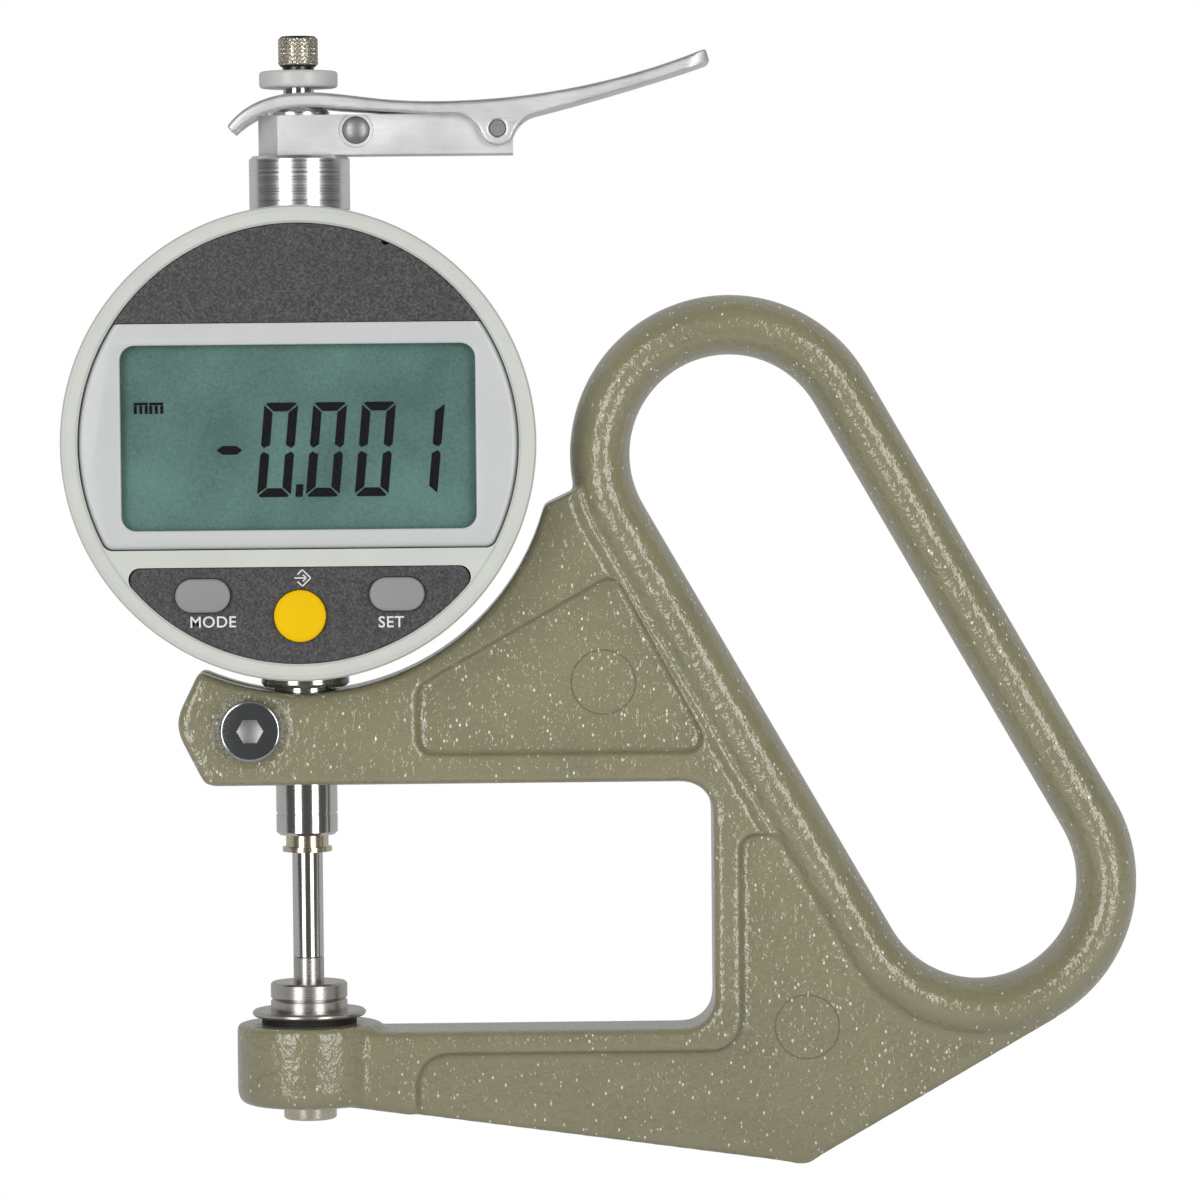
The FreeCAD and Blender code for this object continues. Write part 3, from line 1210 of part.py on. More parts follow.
def lever_outline():
    """The lever's side outline from its pivot: smooth top, blade, lug and cheeks."""
    def at(x, z):
        return FreeCAD.Vector(number(x), -number("lever_width / 2"), number(z))

    def below(point, towards, thickness):
        """The point under another one, square to the line towards a third."""
        along = (towards - point).normalize()
        return point + FreeCAD.Vector(abs(along.z), 0, -abs(along.x)) * number(thickness)

    def smooth(*points):
        curve = Part.BSplineCurve()
        curve.interpolate(list(points))
        return curve.toShape()

    middle = "-(pivot_reach + lever_toe_reach) / 2"
    toe = at("-lever_toe_reach", "lever_toe_height")
    fall = at(middle, "lever_hump_height - lever_hump_fall")
    crest = at("-pivot_reach", "lever_hump_height")
    shoulder = at("-lever_shoulder_reach", "lever_shoulder_height")
    waist = at("-lever_waist_reach", "lever_waist_height")
    bow = at("lever_bow_reach", "lever_bow_height")
    tip = at("lever_tip_reach", "lever_tip_height")
    under_tip = below(tip, bow, "lever_blade")
    under_bow = below(bow, tip, "lever_blade")
    throat = at("lever_throat_reach", "lever_waist_height - lever_blade")
    side, drop = "lever_lug_radius * cos(lever_lug_side)", "-lever_lug_radius * sin(lever_lug_side)"
    cheek = at("-lever_cheek_reach", "lever_cheek_height")
    cheek_end = at("-lever_cheek_end", "lever_cheek_height + lever_cheek_rise")
    under_crest = at("-pivot_reach", "lever_hump_height - lever_blade")
    under_fall = at(middle, "lever_hump_height - lever_hump_fall - lever_blade")
    under_toe = below(toe, fall, "lever_toe_thickness")
    return [
        smooth(toe, fall, crest, shoulder, waist, bow, tip),
        Part.LineSegment(tip, under_tip).toShape(),
        smooth(under_tip, under_bow, throat),
        Part.Arc(throat, at("lever_hollow_reach", "lever_hollow_height"),
                 at(side, drop)).toShape(),
        Part.Arc(at(side, drop), at("0", "-lever_lug_radius"), at(f"-{side}", drop)).toShape(),
        Part.Arc(at(f"-{side}", drop), at("-lever_hollow_reach", "lever_hollow_height"),
                 cheek).toShape(),
        Part.LineSegment(cheek, cheek_end).toShape(),
        smooth(cheek_end, under_crest, under_fall, under_toe),
        Part.LineSegment(under_toe, toe).toShape(),
    ]


def lever_blank():
    """The lever before its slots: the outline over its width, with rounded edges."""
    width = number("lever_width")
    blank = Part.Face(Part.Wire(lever_outline())).extrude(FreeCAD.Vector(0, width, 0))
    long_edges = [
        edge for edge in blank.Edges
        if edge.BoundBox.YLength < 1e-3 and edge.BoundBox.XLength > number("lever_toe_reach")
    ]
    rounded = blank.makeFillet(number("lever_round"), long_edges)
    left = number("lever_toe_reach + 2 * lever_blade")
    right = number("lever_tip_reach + lever_blade")
    height = number("4 * lever_tip_height")
    plan = Part.makeBox(left + right, width, height,
                        FreeCAD.Vector(-left, -width / 2, -height / 2))
    thumb_corners = [
        edge for edge in plan.Edges
        if edge.BoundBox.ZLength > height / 2 and edge.CenterOfMass.x > 0
    ]
    return rounded.common(plan.makeFillet(number("lever_tip_round"), thumb_corners))


def lifting_lever():
    """Curved thumb lever: forked over the spindle, with two cheeks at the pivot."""
    reach = number("pivot_reach")
    toe = number("lever_toe_reach")
    lug = number("lever_lug_radius")
    hump = number("lever_hump_height")
    half = number("lever_width / 2")
    past = number(END_ROOM)
    slot_half = number("bracket_depth / 2 + lever_side_gap")
    bracket_top = number("bracket_height - pivot_rise")
    heel_radius = math.hypot(number("bracket_right"), bracket_top) + number("lever_heel_gap")
    over_bar = bracket_top + number("lever_top_gap")
    nose = reach + number("bracket_left + lever_side_gap")
    bar_slot = Part.makeBox(nose, 2 * slot_half, over_bar + 2 * lug,
                            FreeCAD.Vector(-nose, -slot_half, -2 * lug))
    nut_gap = number("lever_nut_gap")
    nut_pocket = Part.makeCylinder(number("nut_radius") + nut_gap,
                                   number("nut_height") + nut_gap,
                                   FreeCAD.Vector(-reach, 0, bracket_top))
    heel_slot = Part.makeCylinder(heel_radius, 2 * slot_half,
                                  FreeCAD.Vector(0, -slot_half, 0), Y_AXIS)
    fork_half = number("spindle_radius + lever_fork_gap")
    fork_start = -toe - past
    fork_length = number("lever_fork_reach") - reach - fork_start
    fork_slot = Part.makeBox(fork_length, 2 * fork_half, 3 * hump,
                             FreeCAD.Vector(fork_start, -fork_half, -hump))
    pin_hole = Part.makeCylinder(number("pivot_radius + running_fit"), 2 * (half + past),
                                 FreeCAD.Vector(0, -half - past, 0), Y_AXIS)
    item = doc.addObject("Part::Feature", "lifting_lever")
    item.Shape = lever_blank().cut([bar_slot, heel_slot, nut_pocket, fork_slot, pin_hole])
    item.Placement = FreeCAD.Placement(FreeCAD.Vector(reach, 0, number(PIVOT_Z)), UPRIGHT)
    return item


# Turning display head

def head_disc(name, radius, thickness, back):
    """A disc round the head's axis whose rear face lies at a given depth."""
    return cylinder(name, radius, thickness, ("0", f"{back} - {thickness}", HEAD_Z), INTO_DEPTH)


def face_slice(name, radius, low, high, thickness, back):
    """A slice of a disc between two levels, with its corners at the crossbar rounded."""
    size = "(4 * head_radius)"
    disc = head_disc(f"{name}_disc", radius, thickness, back)
    tools = []
    if low:
        tools.append(box(f"{name}_below", (size, size, size),
                         (f"-{size} / 2", f"-{size} / 2", f"{low} - {size}")))
    if high:
        tools.append(box(f"{name}_above", (size, size, size),
                         (f"-{size} / 2", f"-{size} / 2", high)))
    item = cut(f"{name}_slice", disc, tools)
    doc.recompute()
    crossbar = number(f"{HEAD_Z} - bar_below_axis + bar_height / 2")
    reach = number("bar_height")
    corner = number("face_corner")
    rounded = doc.addObject("Part::Fillet", name)
    rounded.Base = item
    rounded.Edges = [
        (index, corner, corner)
        for index, edge in enumerate(item.Shape.Edges, start=1)
        if edge.BoundBox.DiagonalLength < edge.BoundBox.YLength + 1e-3
        and abs(edge.CenterOfMass.z - crossbar) < reach
    ]
    return rounded


SURROUND_LOW = f"({HEAD_Z} - bar_below_axis + bar_height"
SURROUND_HIGH = f"({HEAD_Z} + cover_above_axis - face_gap)"
KEYS_HIGH = f"({HEAD_Z} - bar_below_axis"


def head_bezel():
    """Outer ring of the head with the crossbar between window and keys."""
    length = "(head_front - case_front - head_gap)"
    ring = turned("bezel_ring", [
        (FACE_INNER_RADIUS, "bezel_inner_edge"),
        (f"{FACE_INNER_RADIUS} + bezel_inner_edge", "0"),
        ("head_radius - bezel_round", "0"),
        (f"head_radius - {RIM_SHARE} * bezel_round", f"{RIM_SHARE} * bezel_round"),
        ("head_radius", "bezel_round"),
        ("head_radius", f"{length} - case_edge"),
        ("head_radius - case_edge", length),
        (FACE_INNER_RADIUS, length),
    ], ("0", "-head_front", HEAD_Z), INTO_DEPTH)
    margin = "(2 * face_corner)"
    bar = box("bezel_bar", ("2 * head_radius", "bar_thickness", f"bar_height + 2 * {margin}"),
              ("-head_radius", "-head_front + bar_recess",
               f"{HEAD_Z} - bar_below_axis - {margin}"))
    limit = head_disc("bar_limit", "head_radius - bezel_wall / 2", "head_front", "0")
    openings = [
        face_slice("surround_seat", FACE_INNER_RADIUS, f"{SURROUND_LOW})", None,
                   "head_front", "0"),
        face_slice("key_plate_seat", FACE_INNER_RADIUS, None, f"{KEYS_HIGH})",
                   "head_front", "0"),
    ]
    crossbar = cut("bezel_crossbar", common("bezel_bar_blank", [bar, limit]), openings)
    return fuse("head_bezel", [ring, crossbar])


def head_back_plate():
    """Plate behind the bezel that turns on the hub, with the stop pin's slot."""
    disc = head_disc("back_plate_disc", f"{FACE_INNER_RADIUS} - seat_fit",
                     "back_plate_thickness", HEAD_BACK)
    hub_hole = cylinder("back_plate_hole", "hub_radius + running_fit", "4 * back_plate_thickness",
                        ("0", f"{HEAD_BACK} - 2 * back_plate_thickness", HEAD_Z), INTO_DEPTH)
    slot = stop_slot()
    pillars = []
    rows = ("(board_top - pillar_margin)", "(pillar_margin - board_bottom)")
    for index, (side, row) in enumerate((side, row) for side in ("-1", "1") for row in rows):
        pillars.append(cylinder(
            f"head_pillar_{index}", "pillar_radius", f"{BOARD_STAND} + {SINK}",
            (f"{side} * (board_half_width - pillar_margin)",
             f"{BACK_PLATE_FRONT} - {BOARD_STAND}", f"{HEAD_Z} + {row}"), INTO_DEPTH))
    return cut("head_back_plate", fuse("back_plate_with_pillars", [disc] + pillars),
               [hub_hole, slot])


def stop_slot():
    """Curved slot round the head's axis that the stop pin slides in."""
    half = "(stop_pin_radius + stop_slot_clearance)"
    end_angle = f"(head_turn + {math.degrees(1)} * {half} / stop_pin_orbit)"
    at = ("0", f"{HEAD_BACK} - 2 * back_plate_thickness", HEAD_Z)
    length = "4 * back_plate_thickness"
    outer = cylinder("slot_outer", f"stop_pin_orbit + {half}", length, at, INTO_DEPTH)
    inner = cylinder("slot_inner", f"stop_pin_orbit - {half}", length, at, INTO_DEPTH)
    bind(outer, "Angle", f"2 * {end_angle}")
    start = FreeCAD.Rotation(FreeCAD.Vector(0, 0, 1), 90 - number(end_angle))
    outer.Placement = FreeCAD.Placement(FreeCAD.Vector(), INTO_DEPTH.multiply(start))
    return cut("stop_slot", outer, [inner])


def main_board():
    """Display circuit board on the back plate's pillars."""
    board = box("board_blank", ("2 * board_half_width", "board_thickness",
                                "board_top + board_bottom"),
                ("-board_half_width", MAIN_BOARD_FRONT, f"{HEAD_Z} - board_bottom"))
    return common("main_board", [board, head_disc(
        "board_limit", f"{FACE_INNER_RADIUS} - board_edge_gap", "head_front", "0")])


CELL_BACK = f"({BACK_PLATE_FRONT} - cell_contact)"
CELL_Z = f"({HEAD_Z} + cell_rise)"


def coin_cell():
    """Flat lithium cell behind the battery cover."""
    return turned("coin_cell", [
        ("0", "0"),
        ("cell_face_radius", "0"),
        ("cell_face_radius", "edge_chamfer"),
        ("cell_radius", "edge_chamfer"),
        ("cell_radius", "cell_thickness"),
        ("0", "cell_thickness"),
    ], ("0", f"{CELL_BACK} - cell_thickness", CELL_Z), INTO_DEPTH)


def cell_holder():
    """Thin ring that keeps the cell in place, open on one side for the contact."""
    inner = "(cell_radius + face_gap)"
    ring = washer("holder_ring", inner, f"{inner} + holder_wall", "cell_thickness",
                  ("0", f"{CELL_BACK} + cell_contact - cell_thickness", CELL_Z), INTO_DEPTH)
    opening = box("holder_opening", ("2 * cell_radius", "2 * head_front", "2 * cell_contact_width"),
                  ("0", "-2 * head_front", f"{CELL_Z} - cell_contact_width"))
    return cut("cell_holder", ring, [opening])


def cell_contacts():
    """Contact springs: one behind the cell, one at its rim."""
    behind = box("contact_behind", ("cell_radius", "cell_contact", "cell_contact_width"),
                 ("-cell_radius / 2", CELL_BACK, f"{CELL_Z} - cell_contact_width / 2"))
    rim = box("contact_rim", ("cell_contact", "cell_thickness", "cell_contact_width"),
              ("cell_radius + face_gap / 2", f"{CELL_BACK} + cell_contact - cell_thickness",
               f"{CELL_Z} - cell_contact_width / 2"))
    return group("cell_contacts", [behind, rim])


def display_parts(name, front, thickness, overlap):
    """A rectangular sheet round the display opening, a little larger than it."""
    return box(name, (f"2 * (opening_half_width + {overlap})", thickness,
                      f"opening_low + opening_high + 2 * {overlap}"),
               (f"-opening_half_width - {overlap}", front,
                f"{HEAD_Z} - opening_low - {overlap}"))


def display_window():
    """Clear sheet behind the display opening."""
    return display_parts("display_window", WINDOW_FRONT, "window_thickness", "window_overlap")


def lcd_panel():
    """Liquid crystal panel behind the window."""
    return display_parts("lcd_panel", PANEL_FRONT, "panel_thickness", "window_overlap")


def display_contact_strips():
    """Two rubber strips that join the panel to the main board."""
    levels = [f"{HEAD_Z} - opening_low - window_overlap + strip_inset",
              f"{HEAD_Z} + board_top - strip_height - strip_inset"]
    half = "(board_half_width - strip_inset)"
    return group("display_contact_strips", [
        box(f"contact_strip_{index}",
            (f"2 * {half}", f"{MAIN_BOARD_FRONT} - {PANEL_BACK}", "strip_height"),
            (f"-{half}", PANEL_BACK, level))
        for index, level in enumerate(levels)])


def display_surround():
    """Grey frame round the display, bounded by the bezel's ring and crossbar."""
    blank = face_slice("surround_blank", f"{FACE_INNER_RADIUS} - face_gap",
                       f"{SURROUND_LOW} + face_gap)", SURROUND_HIGH, "plate_thickness",
                       f"({PLATE_BACK} + surround_drop)")
    opening = plate("surround_opening", [
        ("-opening_half_width", f"{HEAD_Z} - opening_low"),
        ("opening_half_width", f"{HEAD_Z} - opening_low"),
        ("opening_half_width", f"{HEAD_Z} + opening_high"),
        ("-opening_half_width", f"{HEAD_Z} + opening_high"),
    ], "4 * head_radius", ("0", "0", "0"),
        [(index, "opening_corner") for index in range(4)])
    return cut("display_surround", blank, [opening])


def battery_cover():
    """Dark segment above the display, with a finger nail notch in its rim."""
    disc = head_disc("cover_disc_blank", f"{FACE_INNER_RADIUS} - face_gap", "plate_thickness",
                     PLATE_BACK)
    size = "(4 * head_radius)"
    below = box("cover_below", (size, size, size),
                (f"-{size} / 2", f"-{size} / 2", f"{HEAD_Z} + cover_above_axis - {size}"))
    notch = cylinder("cover_notch_cut", "cover_notch", f"plate_thickness + 2 * {PAST}",
                     (f"{FACE_INNER_RADIUS} * cos(cover_notch_angle)",
                      f"{FACE_FRONT} - {PAST}",
                      f"{HEAD_Z} + {FACE_INNER_RADIUS} * sin(cover_notch_angle)"), INTO_DEPTH)
    return cut("battery_cover", disc, [below, notch])


def pill(name, width, height, thickness, x, front, z):
    """A key shape with half round ends."""
    straight = f"({width} - {height})"
    ends = [
        cylinder(f"{name}_end_{index}", f"{height} / 2", thickness,
                 (f"{x} + {side} * {straight} / 2", front, z), INTO_DEPTH)
        for index, side in enumerate(("-1", "1"))
    ]
    middle = box(f"{name}_middle", (straight, thickness, height),
                 (f"{x} - {straight} / 2", front, f"{z} - {height} / 2"))
    return fuse(name, ends + [middle])


def key_plate():
    """Dark segment below the display with three openings for the keys."""
    blank = face_slice("key_plate_blank", f"{FACE_INNER_RADIUS} - face_gap", None,
                       f"{KEYS_HIGH} - face_gap)", "plate_thickness", PLATE_BACK)
    openings = [
        pill(f"key_opening_{index}", "(pill_width + 2 * face_gap)",
             "(pill_height + 2 * face_gap)", f"(plate_thickness + 2 * {PAST})",
             x, f"({FACE_FRONT} - {PAST})", f"({HEAD_Z} - pill_drop)")
        for index, x in enumerate(("(-pill_reach)", "pill_reach"))
    ]
    round_opening = cylinder("round_key_opening", "round_key_radius + face_gap",
                             f"plate_thickness + 2 * {PAST}",
                             ("0", f"{FACE_FRONT} - {PAST}", f"{HEAD_Z} - round_key_drop"),
                             INTO_DEPTH)
    return cut("key_plate", blank, [round_opening] + openings)


def pill_key(name, x):
    """A grey key: cap through the plate and a flange behind it."""
    cap = pill(f"{name}_cap", "pill_width", "pill_height",
               "(plate_thickness + key_proud + face_gap)", x,
               f"({FACE_FRONT} - key_proud)", f"({HEAD_Z} - pill_drop)")
    flange = pill(f"{name}_flange", "(pill_width + 2 * key_flange)",
                  "(pill_height + 2 * key_flange)", "key_flange_thickness", x,
                  f"({PLATE_BACK} + face_gap)", f"({HEAD_Z} - pill_drop)")
    return fuse(name, [cap, flange])


def data_key():
    """The round yellow key."""
    return turned("data_key", [
        ("0", "0"),
        ("round_key_radius - edge_chamfer", "0"),
        ("round_key_radius", "edge_chamfer"),
        ("round_key_radius", "key_proud + plate_thickness + face_gap"),
        ("round_key_radius + key_flange", "key_proud + plate_thickness + face_gap"),
        ("round_key_radius + key_flange",
         "key_proud + plate_thickness + face_gap + key_flange_thickness"),
        ("0", "key_proud + plate_thickness + face_gap + key_flange_thickness"),
    ], ("0", f"{FACE_FRONT} - key_proud", f"{HEAD_Z} - round_key_drop"), INTO_DEPTH)


def switch_mat():
    """Rubber mat on the main board with a dome under each key."""
    mat = box("mat_sheet", ("2 * mat_half_width", "mat_thickness", "mat_height"),
              ("-mat_half_width", MAT_FRONT, f"{HEAD_Z} - pill_drop - mat_below"))
    gap = "(key_travel + key_end_gap)"
    height = f"({MAT_FRONT} - {KEY_BACK} - {gap})"
    centres = [("-pill_reach", "pill_drop"), ("pill_reach", "pill_drop"),
               ("0", "round_key_drop")]
    domes = [
        cylinder(f"switch_dome_{index}", "dome_radius", f"{height} + {SINK}",
                 (x, f"{MAT_FRONT} - {height}", f"{HEAD_Z} - {drop}"), INTO_DEPTH)
        for index, (x, drop) in enumerate(centres)
    ]
    limit = head_disc("mat_limit", f"{FACE_INNER_RADIUS} - board_edge_gap / 2",
                      "head_front", "0")
    return common("switch_mat", [fuse("mat_with_domes", [mat] + domes), limit])


# Build

def build_parts():
    """Make every sub-part; each object's label becomes its file's name."""
    return {
        "frame": frame(),
        "clamp_screw": clamp_screw(),
        "lower_anvil": lower_anvil(),
        "anvil_flange": anvil_flange(),
        "anvil_seat_ring": anvil_seat_ring(),
        "anvil_screw": anvil_screw(),
        "stem": stem(),
        "lower_bush": lower_bush(),
        "stem_shoulder": stem_shoulder(),
        "rear_case": rear_case(),
        "back_cover": back_cover(),
        "back_cover_screws": back_cover_screws(),
        "rotation_stop_pin": rotation_stop_pin(),
        "head_retaining_ring": head_retaining_ring(),
        "sensor_board": sensor_board(),
        "read_head": read_head(),
        "guide_rail": guide_rail(),
        "scale_carrier": scale_carrier(),
        "guide_pin": guide_pin(),
        "glass_scale": glass_scale(),
        "spindle": spindle(),
        "upper_anvil": upper_anvil(),
        "lift_collar": lift_collar(),
        "knurled_cap": knurled_cap(),
        "return_spring": return_spring(),
        "top_sleeve": top_sleeve(),
        "upper_bush": upper_bush(),
        "lifter_bracket": lifter_bracket(),
        "bracket_nut": bracket_nut(),
        "bracket_cross_screw": bracket_cross_screw(),
        "lever_pivot_pin": lever_pivot_pin(),
        "lifting_lever": lifting_lever(),
        "head_bezel": head_bezel(),
        "head_back_plate": head_back_plate(),
        "main_board": main_board(),
        "coin_cell": coin_cell(),
        "cell_holder": cell_holder(),
        "cell_contacts": cell_contacts(),
        "display_window": display_window(),
        "lcd_panel": lcd_panel(),
        "display_contact_strips": display_contact_strips(),
        "display_surround": display_surround(),
        "battery_cover": battery_cover(),
        "key_plate": key_plate(),
        "mode_key": pill_key("mode_key", "(-pill_reach)"),
        "set_key": pill_key("set_key", "pill_reach"),
        "data_key": data_key(),
        "switch_mat": switch_mat(),
    }


def check(parts):
    """Stop if any object failed or any sub-part's shape is missing or invalid."""
    for item in doc.Objects:
        bad = {"Invalid", "Error"} & set(item.State)
        if bad:
            raise RuntimeError(f"{item.Name}: {sorted(bad)}")
    for name, item in parts.items():
        if item.Shape.isNull() or not item.Shape.isValid():
            raise RuntimeError(f"{name}: shape is missing or invalid")
        if not item.Shape.Solids or item.Shape.Volume <= 0:
            raise RuntimeError(f"{name}: no solid")


def main():
    """Fill the sheet, build the parts, check them and write one file for each."""
    fill_sheet()
    parts = build_parts()
    for name, item in parts.items():
        item.Label = name
    doc.recompute()
    check(parts)
    os.makedirs(PARTS_FOLDER, exist_ok=True)
    for name, item in parts.items():
        item.Shape.exportStep(os.path.join(PARTS_FOLDER, f"{name}.step"))
        print(f"{name}: {len(item.Shape.Solids)} solid(s), {item.Shape.Volume:.1f} mm3")


main()
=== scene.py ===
"""A hand-held digital thickness gauge: cast bow frame, turning display head, lifted spindle."""

import logging
import math
from collections.abc import Callable, Iterable, Sequence
from dataclasses import dataclass
from enum import Enum
from typing import ClassVar

import bmesh
import bpy
from mathutils import Matrix, Quaternion, Vector


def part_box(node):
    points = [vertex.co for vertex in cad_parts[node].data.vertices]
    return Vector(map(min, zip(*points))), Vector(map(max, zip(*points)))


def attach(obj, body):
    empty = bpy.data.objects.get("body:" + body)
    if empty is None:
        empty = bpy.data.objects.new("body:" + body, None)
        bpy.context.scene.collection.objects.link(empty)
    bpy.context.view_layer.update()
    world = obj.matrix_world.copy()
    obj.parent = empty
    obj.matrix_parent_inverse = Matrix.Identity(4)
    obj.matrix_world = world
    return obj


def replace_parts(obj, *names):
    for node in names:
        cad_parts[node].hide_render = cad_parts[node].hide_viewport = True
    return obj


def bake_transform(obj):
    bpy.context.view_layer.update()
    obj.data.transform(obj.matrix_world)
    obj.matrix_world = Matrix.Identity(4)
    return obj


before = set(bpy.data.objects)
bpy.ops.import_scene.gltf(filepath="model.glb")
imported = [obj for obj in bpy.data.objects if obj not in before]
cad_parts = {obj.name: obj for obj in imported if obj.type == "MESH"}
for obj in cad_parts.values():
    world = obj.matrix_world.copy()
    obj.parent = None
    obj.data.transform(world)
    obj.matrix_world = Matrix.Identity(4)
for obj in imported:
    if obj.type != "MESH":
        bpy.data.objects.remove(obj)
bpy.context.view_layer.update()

log = logging.getLogger("thickness_gauge")

MM = 0.001
Point = tuple[float, float]
Setting = float | int | str | bool | tuple[float, ...]
Link = bpy.types.NodeSocket


# Finishes


def linear(colour: str) -> tuple[float, float, float, float]:
    """Turn an sRGB hex colour into linear light.

    Args:
        colour: Six hex digits, such as "89866d".

    Returns:
        Red, green, blue and an alpha of one.
    """
    channels = []
    for start in (0, 2, 4):
        value = int(colour[start:start + 2], 16) / 255
        channels.append(value / 12.92 if value <= 0.04045 else ((value + 0.055) / 1.055) ** 2.4)
    return (channels[0], channels[1], channels[2], 1.0)


def add(tree: bpy.types.NodeTree, kind: str, inputs: dict[str | int, object] | None = None,
        **settings: Setting) -> bpy.types.Node:
    """Add one node with its settings, its values and what is plugged into it.

    Args:
        tree: The node tree that gets the node.
        kind: The node's type, without "ShaderNode" in front.
        inputs: For each input, a value or the output that feeds it.
        **settings: The node's own properties.

    Returns:
        The new node.
    """
    node = tree.nodes.new(f"ShaderNode{kind}")
    for name, value in settings.items():
        setattr(node, name, value)
    for key, value in (inputs or {}).items():
        if isinstance(value, bpy.types.NodeSocket):
            tree.links.new(value, node.inputs[key])
        else:
            node.inputs[key].default_value = value
    return node


def per(millimetres: float) -> float:
    """Scale of a pattern whose features are this many millimetres apart."""
    return 1.0 / (millimetres * MM)


class Surface:
    """One material while its finish is laid on.

    Attributes:
        tree: The material's nodes.
        shader: Its surface shader.
        place: Position on the piece, in metres.
        finish: The finish.
    """

    def __init__(self, finish: "Finish", made: bpy.types.Material) -> None:
        """Give a new material a shader with the finish's plain values.

        Args:
            finish: The finish.
            made: The material.
        """
        self.finish = finish
        self.tree = made.node_tree
        self.tree.nodes.clear()
        self.shader = self.add("BsdfPrincipled", {
            "Base Color": linear(finish.colour), "Roughness": finish.roughness,
            "Metallic": finish.metallic, "IOR": finish.ior})
        self.add("OutputMaterial", {"Surface": self.shader.outputs["BSDF"]})
        self.place = self.add("TexCoord").outputs["Object"]

    def add(self, kind: str, inputs: dict[str | int, object] | None = None,
            **settings: Setting) -> bpy.types.Node:
        """Add one node to the material."""
        return add(self.tree, kind, inputs, **settings)

    def plug(self, output: Link, name: str) -> None:
        """Feed one of the shader's inputs."""
        self.tree.links.new(output, self.shader.inputs[name])

    def tint(self, factor: Link, other: str) -> Link:
        """Mix the colour towards another one and plug it in.

        Args:
            factor: Share of the other colour.
            other: sRGB hex.

        Returns:
            The mixed colour.
        """
        mixed = self.add("Mix", {
            "Factor": factor, "A": linear(self.finish.colour), "B": linear(other)},
            data_type="RGBA")
        self.plug(mixed.outputs["Result"], "Base Color")
        return mixed.outputs["Result"]

    def shade(self, pattern: Link, span: Point, share: float, other: str) -> Link:
        """Mix in another colour where a pattern is high.

        Args:
            pattern: The pattern.
            span: Where the other colour starts, and where it has its full share.
            share: That share.
            other: sRGB hex.

        Returns:
            The mixed colour.
        """
        amount = self.add("MapRange", {
            "Value": pattern, "From Min": span[0], "From Max": span[1],
            "To Min": 0.0, "To Max": share})
        return self.tint(amount.outputs["Result"], other)

    def wear(self, pattern: Link, spread: Point) -> None:
        """Let a pattern vary the roughness, between two shares of its mean."""
        mean = self.finish.roughness
        rough = self.add("MapRange", {
            "Value": pattern, "From Min": 0.3, "From Max": 0.7,
            "To Min": mean * spread[0], "To Max": mean * spread[1]})
        self.plug(rough.outputs["Result"], "Roughness")

    def emboss(self, pattern: Link, height_mm: float, strength: float) -> Link:
        """Give the surface a fine relief.

        Args:
            pattern: Height of the relief, from nought to one.
            height_mm: Its full height.
            strength: How much of it shows.

        Returns:
            The tilted normals.
        """
        bump = self.add("Bump", {
            "Height": pattern, "Strength": strength, "Distance": height_mm * MM})
        self.plug(bump.outputs["Normal"], "Normal")
        return bump.outputs["Normal"]


@dataclass(frozen=True)
class Finish:
    """What every finish shares: a name, a colour and how rough it is.

    Attributes:
        name: Material and process, in plain words.
        colour: sRGB hex.
        roughness: Mean roughness.
        metallic: One for bare metal.
        ior: Refractive index; metals keep the default.
    """

    name: str
    colour: str
    roughness: float
    metallic: float = 0.0
    ior: float = 1.5

    def material(self) -> bpy.types.Material:
        """The finish as a material, made once."""
        known = bpy.data.materials.get(self.name)
        if known is not None:
            return known
        made = bpy.data.materials.new(self.name)
        made.use_nodes = True
        made.diffuse_color = linear(self.colour)
        self.lay(Surface(self, made))
        return made

    def lay(self, on: Surface) -> None:
        """Add the finish's own texture to a surface."""


